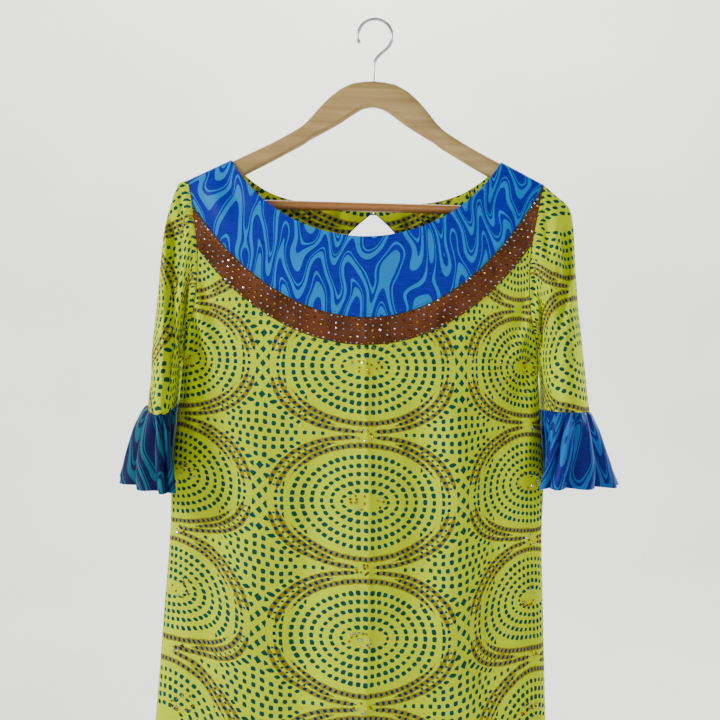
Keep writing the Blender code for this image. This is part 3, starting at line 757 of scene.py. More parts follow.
@dataclass(frozen=True)
class SwirlWaxPrint(Finish):
    """Plain-woven cotton with a flowing marbled wax print: tall cyan fingers and thin lines on royal blue."""

    ground: str = "0420B8"
    ground_deep: str = "041884"
    swirl: str = "0080CC"
    comb_width: float = 41.0
    comb_reach: float = 27.0
    colour_pitch: float = 47.0

    def make(self) -> bpy.types.Material:
        """Make the material.

        The print is bands of colour that a comb has drawn up and down, so their heads are thick and their
        legs thin.

        Returns:
            The material.
        """
        material, tree, shader = self.start()
        uv = add_node(tree, "UVMap", {"uv_map": CLOTH_UV}).outputs[0]
        apart = add_node(tree, "SeparateXYZ", {}, {0: uv})
        flow = add_node(tree, "TexNoise", {}, {"Vector": uv, "Scale": 12.0, "Detail": 1.0, "Roughness": 0.35})
        flow = add_node(tree, "SeparateColor", {}, {0: flow.outputs["Color"]})
        steps = [
            Step("x_mm", "MULTIPLY", ("x", 1000.0)),
            Step("y_mm", "MULTIPLY", ("y", 1000.0)),
            Step("x_flow", "MULTIPLY_ADD", ("drift", 60.0, "x_mm")),
            Step("y_flow", "MULTIPLY_ADD", ("rise", 150.0, "y_mm")),
            Step("turns", "MULTIPLY", ("x_flow", 2 * math.pi / self.comb_width)),
            Step("comb", "COSINE", ("turns", 0)),
            Step("reach", "MULTIPLY_ADD", ("pull", 2.2 * self.comb_reach, -0.1 * self.comb_reach)),
            Step("drawn", "MULTIPLY", ("comb", "reach")),
            Step("height", "ADD", ("y_flow", "drawn")),
            Step("bands", "MULTIPLY", ("height", 1 / self.colour_pitch)),
            Step("share", "FRACT", ("bands", 0)),
            Step("thick", "LESS_THAN", ("share", 0.32)),
            Step("thin_at", "SUBTRACT", ("share", 0.5)),
            Step("thin_off", "ABSOLUTE", ("thin_at", 0)),
            Step("thin", "LESS_THAN", ("thin_off", 0.04)),
            Step("swirls", "MAXIMUM", ("thick", "thin")),
        ]
        known = {"x": apart.outputs[0], "y": apart.outputs[1], "drift": flow.outputs[0],
                 "rise": flow.outputs[1], "pull": flow.outputs[2]}
        value = self.work_out(tree, steps, known)
        slub = self.weave(tree, shader, uv, 1.5, 0.12)
        ramp = [(0.3, linear(self.ground_deep)), (0.7, linear(self.ground))]
        ground = add_node(tree, "ValToRGB", {"ramp": ramp}, {0: slub})
        mix = add_node(tree, "Mix", {"data_type": "RGBA"},
                       {"Factor": value["swirls"], "A": ground.outputs[0], "B": linear(self.swirl)})
        tree.links.new(mix.outputs["Result"], shader.inputs["Base Color"])
        return material


@dataclass(frozen=True)
class BrushedSuede(Finish):
    """Brushed brown cloth like suede: a matt nap that is stroked lighter and darker in patches."""

    light: str = "744026"
    dark: str = "452413"

    def make(self) -> bpy.types.Material:
        """Make the material.

        Returns:
            The material.
        """
        material, tree, shader = self.start()
        uv = add_node(tree, "UVMap", {"uv_map": CLOTH_UV}).outputs[0]
        patch = add_node(tree, "TexNoise", {}, {"Vector": uv, "Scale": 26.0, "Detail": 3.0, "Roughness": 0.6})
        nap = add_node(tree, "TexNoise", {}, {"Vector": uv, "Scale": 900.0, "Detail": 2.0})
        tone = add_node(tree, "Math", {"operation": "MULTIPLY_ADD"}, {0: nap.outputs["Fac"], 1: 0.3,
                                                                      2: patch.outputs["Fac"]})
        ramp = add_node(tree, "ValToRGB", {"ramp": [(0.45, linear(self.dark)), (0.85, linear(self.light))]},
                        {0: tone.outputs[0]})
        bump = add_node(tree, "Bump", {},
                        {"Strength": 0.4, "Distance": 0.3 * MM, "Height": nap.outputs["Fac"]})
        tree.links.new(ramp.outputs[0], shader.inputs["Base Color"])
        tree.links.new(bump.outputs[0], shader.inputs["Normal"])
        return material


@dataclass(frozen=True)
class VarnishedWood(Finish):
    """Satin-varnished wood with its grain along one piece: fine pores and slow bands of tone."""

    light: str = "BFA265"
    dark: str = "9C7C46"
    grain_width: float = 3.2

    def make(self) -> bpy.types.Material:
        """Make the material.

        Returns:
            The material.
        """
        material, tree, shader = self.start()
        place = add_node(tree, "TexCoord").outputs["Object"]
        along = add_node(tree, "Mapping", {}, {"Vector": place, "Scale": (6.0, 1000 / self.grain_width,
                                                                         1000 / self.grain_width / 3)})
        grain = add_node(tree, "TexNoise", {}, {"Vector": along.outputs[0], "Scale": 1.0, "Detail": 5.0,
                                                "Roughness": 0.6, "Distortion": 0.4})
        pores = add_node(tree, "Mapping", {}, {"Vector": place, "Scale": (60.0, 2200.0, 2200.0)})
        pores = add_node(tree, "TexNoise", {}, {"Vector": pores.outputs[0], "Scale": 1.0, "Detail": 2.0})
        tone = add_node(tree, "Math", {"operation": "MULTIPLY_ADD"}, {0: pores.outputs["Fac"], 1: 0.25,
                                                                      2: grain.outputs["Fac"]})
        ramp = add_node(tree, "ValToRGB", {"ramp": [(0.42, linear(self.dark)), (0.8, linear(self.light))]},
                        {0: tone.outputs[0]})
        bump = add_node(tree, "Bump", {},
                        {"Strength": 0.15, "Distance": 0.2 * MM, "Height": grain.outputs["Fac"]})
        tree.links.new(ramp.outputs[0], shader.inputs["Base Color"])
        tree.links.new(bump.outputs[0], shader.inputs["Normal"])
        return material


@dataclass(frozen=True)
class PlainFinish(Finish):
    """A one-coloured finish with a faint mottle, for metal, glass stones and thread."""

    light: str = "C9C9C6"
    dark: str = "9C9C98"
    mottle: float = 300.0

    def make(self) -> bpy.types.Material:
        """Make the material.

        Returns:
            The material.
        """
        material, tree, shader = self.start()
        place = add_node(tree, "TexCoord").outputs["Object"]
        noise = add_node(tree, "TexNoise", {}, {"Vector": place, "Scale": self.mottle, "Detail": 1.0})
        ramp = add_node(tree, "ValToRGB", {"ramp": [(0.35, linear(self.dark)), (0.65, linear(self.light))]},
                        {0: noise.outputs["Fac"]})
        tree.links.new(ramp.outputs[0], shader.inputs["Base Color"])
        return material


# The dress's form


class Crease(NamedTuple):
    """A fold in the cloth: a path in X and Z, its height and its width to either side."""

    face: Face
    path: tuple[tuple[float, float], ...]
    height: float
    left: float
    right: float
    kind: Fold = Fold.SOFT


@dataclass
class DressForm:
    """The dress's surface as its solids have it, in mm, with the creases laid on it."""

    wall: float = 0.8
    seam: float = 0.36
    shoulder_z: float = -162.0
    neck_half: float = 155.0
    shoulder_half: float = 204.0
    slope: float = 0.5
    front_drop: float = 90.0
    back_drop: float = 47.0
    underarm_z: float = -372.0
    hem_z: float = -1122.0
    turn: float = 8.5
    ease_length: float = 105.0
    side_power: float = 2.3
    spare_width: float = 62.0
    spare_height: float = 95.0
    hold_height: float = 60.0
    crease_width: float = 42.0
    keyhole_x: float = 10.0
    keyhole_half: float = 38.0
    keyhole_top: float = 8.0
    keyhole_foot: float = 105.0
    slit_half: float = 0.5
    heights: tuple[float, ...] = (-1122.0, -900.0, -680.0, -575.0, -534.0, -437.0, -372.0, -160.0)
    half_widths: tuple[float, ...] = (238.0, 229.0, 218.0, 213.5, 214.0, 207.0, 203.0, 203.0)
    fronts: tuple[float, ...] = (52.0, 50.0, 46.0, 42.0, 43.0, 44.0, 44.0, 44.0)
    backs: tuple[float, ...] = (50.0, 48.0, 43.0, 38.0, 38.0, 38.0, 37.0, 37.0)
    ridges: tuple[float, ...] = (4.5, 4.5, 4.5, 3.8, 3.2, 2.0, 0.8, 0.0)
    flute_depths: tuple[float, ...] = (9.0, 6.0, 2.5, 1.2, 0.8, 0.3, 0.0, 0.0)
    armhole: tuple[tuple[float, float], ...] = ((0.0, 204.0), (0.1, 199.5), (0.2, 196.0), (0.4, 189.5),
                                                (0.58, 187.5), (0.74, 189.0), (0.88, 194.0), (1.0, 203.0))
    front_flutes: tuple = ((-150.0, 34.0, 0.8), (-62.0, 30.0, -0.7), (70.0, 32.0, -0.8), (146.0, 36.0, 0.9))
    back_flutes: tuple = ((-128.0, 36.0, 0.9), (-40.0, 34.0, -0.6), (36.0, 30.0, 0.8), (132.0, 34.0, -0.8))
    band_top: tuple[float, float, float, float] = (-343.2, 3.0e-3, 1.2e-8, 12.0)
    band_foot: tuple[float, float, float, float] = (-374.0, 2.7e-3, 1.2e-8, 8.0)

    def at(self, values: Sequence[float], z: Grid) -> Grid:
        """One of the tables by height, read at z."""
        return smooth(list(zip(self.heights, values)), z)

    def lean(self, x: Grid) -> Grid:
        """How much higher the cloth lies at x, because the hanger's middle is to one side."""
        return self.slope * HANGER_SHIFT * np.clip(x / self.neck_half, -1, 1)

    def ridge(self, x: Grid) -> Grid:
        """Height of the line that the shoulders hang from, carried on across the neck.

        Args:
            x: Places across, in mm.

        Returns:
            Heights in mm.
        """
        reach = np.abs(x)
        over = 0.5 * self.slope * self.neck_half * (1 - (reach / self.neck_half) ** 2)
        down = -self.slope * (reach - self.neck_half)
        return self.shoulder_z + self.lean(x) + np.where(reach < self.neck_half, over, down)

    def edge_half(self, z: Grid, side: float) -> Grid:
        """Half width of a panel: its armhole edge above the underarm, its side seam below.

        Args:
            z: Heights, in mm.
            side: -1 for the left half and 1 for the right.

        Returns:
            Half widths in mm.
        """
        top = float(self.ridge(np.array(side * self.shoulder_half)))
        share = np.clip((top - z) / (top - self.underarm_z), 0, 1)
        return np.where(z > self.underarm_z, smooth(self.armhole, share), self.at(self.half_widths, z))

    def stand_off(self, x: Grid, z: Grid, face: Face) -> Grid:
        """How far the outer surface stands from the middle plane.

        Args:
            x: Places across, in mm.
            z: Heights, in mm.
            face: Front or back.

        Returns:
            Distances in mm.
        """
        drop = np.maximum(self.ridge(x) - z, 0.0)
        roll = self.turn * np.sqrt(1 - (1 - np.clip(drop / self.turn, 0, 1)) ** 2)
        full = self.at(self.fronts if face is Face.FRONT else self.backs, z)
        swell = (full - self.turn) * (1 - np.exp(-np.maximum(drop - self.turn, 0) / self.ease_length))
        spare = self.spare_width * ease((z - self.underarm_z) / self.spare_height)
        reach = np.clip(np.abs(x) / (self.at(self.half_widths, z) + spare), 0, 1)
        side = (1 - reach ** self.side_power) ** (1 / self.side_power)
        hold = ease((z - self.underarm_z) / self.hold_height)
        table = self.front_flutes if face is Face.FRONT else self.back_flutes
        folds = sum(share * np.exp(-((x - place) / width) ** 2) for place, width, share in table)
        folds = folds * self.at(self.flute_depths, z)
        if face is Face.FRONT:
            folds = folds + self.at(self.ridges, z) * np.exp(-np.abs(x) / self.crease_width)
        return roll * (hold + (1 - hold) * side) + swell * side + folds * side

    def panel(self, x: Grid, z: Grid, face: Face) -> Grid:
        """Points of a panel's outer surface."""
        depth = np.maximum(self.stand_off(x, z, face), self.seam / 2)
        return np.stack([x, face.value * depth, z], axis=-1)

    def band_line(self, x: Grid, line: Sequence[float]) -> Grid:
        """Height of one edge of the band at x."""
        middle, square, fourth, slip = line
        return middle + square * x ** 2 + fourth * x ** 4 + slip * (x / 200.0) ** 3

    def front_neck(self, x: Grid) -> Grid:
        """Height of the front neckline, an arc between the neck corners.

        Args:
            x: Places across, in mm.

        Returns:
            Heights in mm.
        """
        radius = (self.neck_half ** 2 + self.front_drop ** 2) / (2 * self.front_drop)
        reach = np.minimum(np.abs(x), self.neck_half)
        sag = np.sqrt(radius ** 2 - reach ** 2) - math.sqrt(radius ** 2 - self.neck_half ** 2)
        return self.shoulder_z + self.lean(x) - sag

    def back_neck(self, x: Grid) -> Grid:
        """Height of the back neckline, flatter and higher than the front one."""
        share = np.minimum(np.abs(x) / self.neck_half, 1)
        return self.shoulder_z + self.lean(x) - self.back_drop * (1 - share ** 4)

    def top_edge(self, neck: Callable[[Grid], Grid]) -> Callable[[Grid], Grid]:
        """A panel's top edge: its neckline, then the shoulder seam."""
        return lambda x: np.where(np.abs(x) < self.neck_half, neck(x), self.ridge(x))

    def columns(self, neck: int, shoulder: int) -> Grid:
        """Shares of the half width at which a half panel's columns lie."""
        corner = self.neck_half / self.shoulder_half
        return np.concatenate([np.linspace(0, corner, neck + 1), np.linspace(corner, 1, shoulder + 1)[1:]])

    def column_x(self, share: Grid, z: Grid, side: float, middle: float = 0.0, gap: Any = 0.0) -> Grid:
        """X of a column at height z, pushed away from a middle line or a gap in it.

        Args:
            share: Each column's share of the half width.
            z: Heights, in mm.
            side: -1 for the left half and 1 for the right.
            middle: X of the middle line.
            gap: Half the gap at the middle line.

        Returns:
            Places across, in mm.
        """
        corner = self.neck_half / self.shoulder_half
        near = np.clip(1 - share / corner, 0, 1) ** 2
        return side * share * self.edge_half(z, side) + (middle + side * gap) * near

    def settle(self, height: Callable[[Grid], Grid], share: Grid, side: float, middle: float = 0.0) -> Grid:
        """The height where each column meets the curve z = height(x).

        Args:
            height: The curve, as a function of X.
            share: Each column's share of the half width.
            side: -1 for the left half and 1 for the right.
            middle: X of the middle line.

        Returns:
            Heights in mm.
        """
        z = np.full_like(share, -250.0)
        for _ in range(14):
            z = height(self.column_x(share, z, side, middle))
        return z

    def front(self, upper: Callable[[Grid], Grid], lower: Callable[[Grid], Grid], shares: Grid,
              fractions: Grid) -> Grid:
        """A front piece between two edge curves.

        Args:
            upper: Height of the top edge at X.
            lower: Height of the lower edge at X.
            shares: Where the columns of half the piece lie.
            fractions: Where the rows lie between the two edges.

        Returns:
            The grid of points, rows downwards and columns to +X.
        """
        halves = []
        for side in (-1.0, 1.0):
            top = self.settle(upper, shares, side)
            foot = self.settle(lower, shares, side)
            z = top + (foot - top) * fractions[:, None]
            x = self.column_x(shares[None, :] + 0 * z, z, side)
            halves.append(self.panel(x, z, Face.FRONT))
        return np.concatenate([halves[0][:, :0:-1], halves[1]], axis=1)

    def keyhole_gap(self, drop: Grid) -> Grid:
        """Half width of the slit and the keyhole, this far under the back neckline.

        Args:
            drop: How far under the neckline, in mm.

        Returns:
            Half widths in mm, 0 under the keyhole.
        """
        share = (drop - self.keyhole_top) / (self.keyhole_foot - self.keyhole_top)
        upper = self.keyhole_half * np.sin(math.pi * np.clip(share, 0, 0.5))
        lower = self.keyhole_half * np.sqrt(np.clip(1 - (2 * np.clip(share, 0, 1) - 1) ** 2, 0, 1))
        gap = np.where(share < 0.5, np.maximum(upper, self.slit_half), lower)
        return np.where(share > 1, 0.0, gap)


@dataclass
class Folds:
    """The creases laid on the cloth, and how they move its points."""

    creases: tuple[Crease, ...]
    run_out: float = 45.0
    lap_edge: float = 7.0

    def raise_points(self, grid: Grid, normals: Grid, edge: float, ring: bool = False) -> Grid:
        """Move a grid's points along their normals by the creases near them.

        Args:
            grid: Points in the dress's frame.
            normals: Their outward normals.
            edge: Over how many rows and columns the creases fade at the borders.
            ring: Whether each row closes on itself.

        Returns:
            The moved points.
        """
        face = np.where(normals[..., 1] < 0, -1.0, 1.0)
        total = np.zeros(grid.shape[:2])
        lapped = np.zeros(grid.shape[:2])
        for crease in self.creases:
            near = self.height_at(crease, grid[..., 0], grid[..., 2])
            near = np.where(face == crease.face.value, near, 0.0)
            if crease.kind is Fold.LAPPED:
                lapped += near * ease(np.abs(normals[..., 1]) / 0.6)
            else:
                total += near * np.abs(normals[..., 1]) ** 0.5
        rows = np.arange(grid.shape[0])
        fade = ease(np.minimum(rows, rows[::-1]) / edge)[:, None]
        if not ring:
            cells = np.arange(grid.shape[1])
            fade = fade * ease(np.minimum(cells, cells[::-1]) / edge)[None, :]
        moved = grid + normals * (total * fade)[..., None]
        moved[..., 1] += face * lapped * fade
        return moved

    def height_at(self, crease: Crease, x: Grid, z: Grid) -> Grid:
        """Height of one crease at each point, fading towards its ends.

        Args:
            crease: The crease.
            x: Places across, in mm.
            z: Heights, in mm.

        Returns:
            Heights in mm, below 0 for a valley.
        """
        path = np.array(crease.path)
        legs = np.linalg.norm(np.diff(path, axis=0), axis=1)
        total = legs.sum()
        best = np.full(x.shape, 1e9)
        signed = np.zeros(x.shape)
        along = np.zeros(x.shape)
        done = 0.0
        for start, end, leg in zip(path[:-1], path[1:], legs):
            way = (end - start) / leg
            t = np.clip((x - start[0]) * way[0] + (z - start[1]) * way[1], 0, leg)
            dx = x - start[0] - t * way[0]
            dz = z - start[1] - t * way[1]
            gap = np.hypot(dx, dz)
            nearer = gap < best
            best = np.where(nearer, gap, best)
            signed = np.where(nearer, dx * -way[1] + dz * way[0], signed)
            along = np.where(nearer, (done + t) / total, along)
            done += leg
        width = np.where(signed > 0, crease.right, crease.left)
        ends = ease(np.minimum(along, 1 - along) * total / min(self.run_out, 0.45 * total))
        if crease.kind is Fold.PRESSED:
            return crease.height * ends * np.exp(-best / width)
        soft = crease.height * ends * np.exp(-(best / width) ** 2)
        if crease.kind is Fold.LAPPED:
            return soft * ease(signed / self.lap_edge)
        return soft


# Meshes


def to_object(name: str, points: Grid, faces: list, uv: Grid | None, material: bpy.types.Material) -> bpy.types.Object:
    """Make an object from points in the dress's frame and let it ride on the one body.

    Args:
        name: The object's name.
        points: Points in mm.
        faces: Faces as tuples of point numbers.
        uv: One pair of cloth coordinates for each point, in mm, or None.
        material: Its finish.

    Returns:
        The object.
    """
    mesh = bpy.data.meshes.new(name)
    mesh.from_pydata(((points - np.array([HANGER_SHIFT, 0, 0])) * MM).tolist(), [], faces)
    if uv is not None:
        loops = np.empty(len(mesh.loops), np.int32)
        mesh.loops.foreach_get("vertex_index", loops)
        layer = mesh.uv_layers.new(name=CLOTH_UV)
        layer.data.foreach_set("uv", (uv[loops] * MM).astype(np.float32).ravel())
    mesh.materials.append(material)
    mesh.shade_smooth()
    mesh.set_sharp_from_angle(angle=math.radians(60))
    obj = bpy.data.objects.new(name, mesh)
    bpy.context.scene.collection.objects.link(obj)
    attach(obj, "root")
    LOG.info("%s: %d faces", name, len(mesh.polygons))
    return obj


def grid_faces(index: Grid) -> Grid:
    """Faces between the neighbouring rows and columns of a grid of point numbers."""
    return np.stack([index[:-1, :-1], index[:-1, 1:], index[1:, 1:], index[1:, :-1]], axis=-1).reshape(-1, 4)


def walk(grid: Grid, axis: int) -> Grid:
    """Length along a grid's rows or columns, from its first one."""
    steps = np.linalg.norm(np.diff(grid, axis=axis), axis=-1)
    return np.concatenate([np.zeros_like(steps.take([0], axis=axis)), np.cumsum(steps, axis=axis)], axis=axis)


def closed_rows(grid: Grid) -> Grid:
    """A ring grid with its first column again at the end."""
    return np.concatenate([grid, grid[:, :1]], axis=1)


def circle(count: int) -> Grid:
    """Evenly spaced angles all round."""
    return np.arange(count) * 2 * math.pi / count


def at_length(where: Any, length: Grid, values: Grid) -> Grid:
    """Points or directions given along a line, read at other lengths."""
    return np.stack([np.interp(where, length, values[:, k]) for k in range(3)], axis=-1)


@dataclass
class Shell:
    """A thin wall of cloth: a grid of outer points, the same moved in, and a rim along its free edges."""

    name: str
    node: str
    slot: str
    grid: Grid
    uv: Grid
    normals: Grid
    wall: float
    ring: bool = False
    faces: Grid | None = None

    def build(self, material: bpy.types.Material) -> bpy.types.Object:
        """Args:
            material: Its finish.

        Returns:
            The object.
        """
        faces = self.faces
        if faces is None:
            index = np.arange(self.grid[..., 0].size).reshape(self.grid.shape[:2])
            faces = grid_faces(closed_rows(index) if self.ring else index)
        faces = self.facing_out(faces)
        used, new = np.unique(faces, return_inverse=True)
        points = self.grid.reshape(-1, 3)[used]
        inner = points - self.normals.reshape(-1, 3)[used] * self.wall
        flat = self.uv.reshape(-1, 2)[used]
        count = len(points)
        outside = [tuple(quad) for quad in new.reshape(faces.shape).tolist()]
        edges = {(quad[k], quad[(k + 1) % 4]) for quad in outside for k in range(4)}
        rim = sorted((b, a, a + count, b + count) for a, b in edges if (b, a) not in edges)
        inside = [tuple(v + count for v in quad[::-1]) for quad in outside]
        obj = to_object(self.name, np.concatenate([points, inner]), outside + inside + rim,
                        np.concatenate([flat, flat]), material)
        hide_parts(self.node)
        self.declare()
        return obj

    def facing_out(self, faces: Grid) -> Grid:
        """Turn all the faces, if need be, so that they face the way the normals do.

        Args:
            faces: Point numbers of each face.

        Returns:
            The same faces, or all of them reversed.
        """
        points = self.grid.reshape(-1, 3)
        one = points[faces[:, 2]] - points[faces[:, 0]]
        two = points[faces[:, 3]] - points[faces[:, 1]]
        facing = np.einsum("ij,ij->i", np.cross(one, two), self.normals.reshape(-1, 3)[faces[:, 0]])
        return faces if facing.sum() > 0 else faces[:, ::-1]

    def declare(self) -> None:
        """Work out the flat width and length that the piece was cut to, from its own lengths; nothing uses them.
        """
        ring = closed_rows(self.grid) if self.ring else self.grid
        width = float(walk(ring, 1)[:, -1].max()) * MM
        length = float(walk(ring, 0)[-1].max()) * MM


@dataclass
class Sleeve:
    """One sleeve and its ruffle, with X counted outwards from the middle of the dress."""

    side: Side
    hem_z: float
    hem_tilt: float
    hem_middle: float
    hem_half: float
    hem_wrap: float
    hem_depth: float
    pinch: float
    reach: Rows
    cuff_middle: float
    cuff_half: float
    cuff_wrap: float
    cuff_depth: float
    flare: float
    cuff_length: float = 83.0
    gathers: int = 13
    gather_rows: Rows = ((0.0, 0.5), (0.12, 2.0), (0.5, 3.2), (1.0, 4.2))
    around_rows: Rows = ((0.0, 0.0), (0.35, 90.0), (0.6, 145.0), (1.0, 180.0))
    pinch_at: float = 0.62
    pinch_width: float = 0.14
    back_pinch: float = 0.5
    under_bulge: float = 5.0
    rows: int = 120
    half_columns: int = 105
    cuff_rows: int = 44
    cuff_columns: int = 312

    @property
    def mirror(self) -> Grid:
        """What turns outward X into the dress's X."""
        return np.array([self.side.value, 1.0, 1.0])

    def armhole(self, form: DressForm) -> tuple[Grid, Grid]:
        """The armhole's edge, down the front from the shoulder point and up the back.

        Args:
            form: The dress's form.

        Returns:
            Its points with X outwards, and their shares round it, negative at the back.
        """
        side = self.side.value
        top = float(form.ridge(np.array(side * form.shoulder_half)))
        spread = (1 - np.cos(np.linspace(0, math.pi, 400))) / 2
        z = top + (form.underarm_z - top) * spread
        x = form.edge_half(z, side)
        halves = []
        for face in (Face.FRONT, Face.BACK):
            points = form.panel(side * x, z, face) * self.mirror
            points[[0, -1], 1] = 0.0
            length = walk(points[None], 1)[0]
            even = np.linspace(0, length[-1], self.half_columns + 1)
            halves.append(at_length(even, length, points))
        loop = np.concatenate([halves[0], halves[1][-2:0:-1]])
        share = np.linspace(0, 1, self.half_columns + 1)
        return loop, np.concatenate([share, share[1:-1] - 1])

    def ring(self, sizes: Sequence[float], angle: Grid) -> tuple[Grid, Grid]:
        """Plan of a cuff: an oval whose front and back bend in round the side of the body."""
        middle, half, wrap, depth = sizes
        return middle + half * np.cos(angle) - wrap * np.sin(angle) ** 2, -depth * np.sin(angle)

    def surface(self, form: DressForm, folds: Folds) -> tuple[Grid, Grid]:
        """The sleeve's loft from the armhole to the cuff, with its creases.

        Args:
            form: The dress's form.
            folds: The creases.

        Returns:
            Points in the dress's frame, and cloth coordinates in mm.
        """
        loop, share = self.armhole(form)
        angle = np.sign(share) * np.radians(smooth(self.around_rows, np.abs(share)))
        sizes = (self.hem_middle, self.hem_half, self.hem_wrap, self.hem_depth)
        hem_x, hem_y = self.ring(sizes, angle)
        hem_z = self.hem_z + self.hem_tilt * hem_y
        crown = np.exp(-(share / 0.16) ** 2)
        under = np.exp(-((np.abs(share) - self.pinch_at) / self.pinch_width) ** 2)
        strength = np.where(share >= 0, 1.0, -self.back_pinch) * self.pinch
        flare = unit(np.stack([loop[:, 0] * 0 + 0.45, loop[:, 1] / 60.0, loop[:, 0] * 0 - 0.35], axis=-1))
        hang = self.under_bulge * ease((np.abs(share) - 0.4) / 0.3)
        t = (np.linspace(0, 1, self.rows) ** 1.25)[:, None]
        out = crown * smooth(self.reach, t) + (1 - crown) * t ** 0.45
        x = loop[:, 0] + (hem_x - loop[:, 0]) * out
        y = loop[:, 1] + (hem_y - loop[:, 1]) * t ** 0.6
        y = y + strength * under * np.sin(math.pi * t ** 0.7) ** 2
        z = loop[:, 2] + (hem_z - loop[:, 2]) * t
        bulge = hang * np.minimum(1.0, (t / 0.04) ** 0.7) * (1 - t) ** 2
        grid = (np.stack([x, y, z], axis=-1) + bulge[..., None] * flare) * self.mirror
        grid[0] += unit(grid[1] - grid[0]) * form.seam
        lengths = walk(closed_rows(grid), 1)
        u = np.where(share >= 0, lengths[:, :-1], lengths[:, :-1] - lengths[:, -1:])
        v = grid[:1, :, 2] - walk(grid, 0)
        uv = np.stack([self.side.value * u, v], axis=-1)
        grid = folds.raise_points(grid, self.outward(grid), 5.0, ring=True)
        return grid, uv

    def outward(self, grid: Grid) -> Grid:
        """Normals of a ring grid that face away from its own middle.

        Args:
            grid: Rows of points.

        Returns:
            Unit normals.
        """
        normals = grid_normals(grid, True)
        away = grid - grid.mean(axis=1, keepdims=True)
        sign = np.sign(np.einsum("ijk,ijk->", normals, away))
        return normals * (sign if sign else 1.0)

    def ruffle(self, form: DressForm) -> tuple[Grid, Grid]:
        """The gathered ruffle under the sleeve.

        Args:
            form: The dress's form.

        Returns:
            Points in the dress's frame, and cloth coordinates in mm.
        """
        angle = np.linspace(0, 2 * math.pi, self.cuff_columns, endpoint=False)
        rows = []
        for t in np.linspace(0, 1, self.cuff_rows) ** 1.15:
            out = t ** self.flare
            sizes = [a + (b - a) * out for a, b in (
                (self.hem_middle, self.cuff_middle), (self.hem_half, self.cuff_half),
                (self.hem_wrap, self.cuff_wrap), (self.hem_depth, self.cuff_depth))]
            x, y = self.ring(sizes, angle)
            flat = unit(np.stack([np.roll(y, 1) - np.roll(y, -1), np.roll(x, -1) - np.roll(x, 1)], axis=-1))
            phase = self.gathers * angle + 1.2 * math.sin(3 * t)
            uneven = 1 + 0.25 * np.sin(2 * angle + 0.7) + 0.2 * np.sin(5 * angle - 1.1)
            bulge = 2 * (0.5 + 0.5 * np.cos(phase + 0.35 * np.sin(3 * angle))) ** 0.6 - 1
            wave = float(smooth(self.gather_rows, t)) * bulge * uneven * (1 + 0.7 * np.sin(angle) ** 2)
            tucks = 1.5 * math.exp(-t / 0.2) * min(1.0, t / 0.03)
            tucks = tucks * np.cos(31 * angle + 2.0 * np.sin(4 * angle))
            z = self.hem_z - form.seam + self.hem_tilt * y - self.cuff_length * t
            z = z - 0.7 * t * np.cos(phase)
            move = wave + tucks
            rows.append(np.stack([x + move * flat[:, 0], y + move * flat[:, 1], z], axis=-1))
        grid = np.array(rows) * self.mirror
        lengths = walk(closed_rows(grid), 1)[-1, :-1]
        uv = np.stack([np.broadcast_to(lengths, grid.shape[:2]), grid[..., 2]], axis=-1)
        return grid, uv


@dataclass
class Studs:
    """Small faceted stones set on the cloth, joined in one mesh."""

    radius: float = 1.35
    height: float = 0.9
    sides: int = 8
    places: list = field(default_factory=list)

    def add(self, point: Grid, normal: Grid, size: float = 1.0) -> None:
        """Set one stone on the cloth.

        Args:
            point: Where it sits, in the dress's frame.
            normal: Which way it faces.
            size: Its share of the usual size.
        """
        self.places.append((point, normal, size, len(self.places)))

    def build(self, name: str, material: bpy.types.Material, slot: str) -> bpy.types.Object:
        """Build every stone as a low faceted dome.

        Args:
            name: The object's name.
            material: Its finish.
            slot: Not used.

        Returns:
            The object.
        """
        points: list = []
        faces: list = []
        turns = circle(self.sides)
        for point, normal, size, number in self.places:
            tilt = 0.32 * np.array([math.sin(2.4 * number), 0.0, math.cos(5.1 * number)])
            normal = unit(unit(normal) + tilt)
            across = unit(np.cross(normal, np.array([0.0, 0.0, 1.0])))
            up = np.cross(across, normal)
            first = len(points)
            for radius, lift, twist in ((1.0, -0.1, 0.0), (0.92, 0.45, 0.0), (0.5, 1.0, 0.5)):
                for turn in turns + twist * math.pi / self.sides:
                    points.append(point + size * (self.radius * radius * (math.cos(turn) * across
                                  + math.sin(turn) * up) + self.height * lift * normal))
            for level in range(2):
                for k in range(self.sides):
                    a = first + level * self.sides + k
                    b = first + level * self.sides + (k + 1) % self.sides
                    faces.append((a, b, b + self.sides, a + self.sides))
            faces.append(tuple(first + 2 * self.sides + k for k in range(self.sides)))
            faces.append(tuple(first + k for k in range(self.sides))[::-1])
        obj = to_object(name, np.array(points), faces, None, material)
        obj.data.shade_flat()
        return obj


def tube(path: Grid, radius: float, sides: int, closed: bool = False) -> tuple[Grid, list]:
    """A round tube along a path.

    Args:
        path: Points in mm.
        radius: Its radius.
        sides: How many sides it has.
        closed: Whether the path closes on itself.

    Returns:
        Its points and faces, with filled ends where it is open.
    """
    if closed:
        way = unit(np.roll(path, -1, axis=0) - np.roll(path, 1, axis=0))
    else:
        way = unit(np.gradient(path, axis=0))
    side_ways = np.cross(way, np.array([0.0, 1.0, 0.0]))
    weak = np.linalg.norm(side_ways, axis=-1) < 0.2
    side_ways[weak] = np.cross(way[weak], np.array([1.0, 0.0, 0.0]))
    one = unit(side_ways)
    two = np.cross(way, one)
    turns = circle(sides)
    rings = (path[:, None] + radius * (np.cos(turns)[None, :, None] * one[:, None]
                                       + np.sin(turns)[None, :, None] * two[:, None]))
    index = closed_rows(np.arange(len(path) * sides).reshape(len(path), sides))
    if closed:
        index = np.concatenate([index, index[:1]])
    faces = [tuple(quad) for quad in grid_faces(index).tolist()]
    if not closed:
        faces += [tuple(index[0, :-1].tolist()), tuple(index[-1, :-1].tolist()[::-1])]
    return rings.reshape(-1, 3), faces


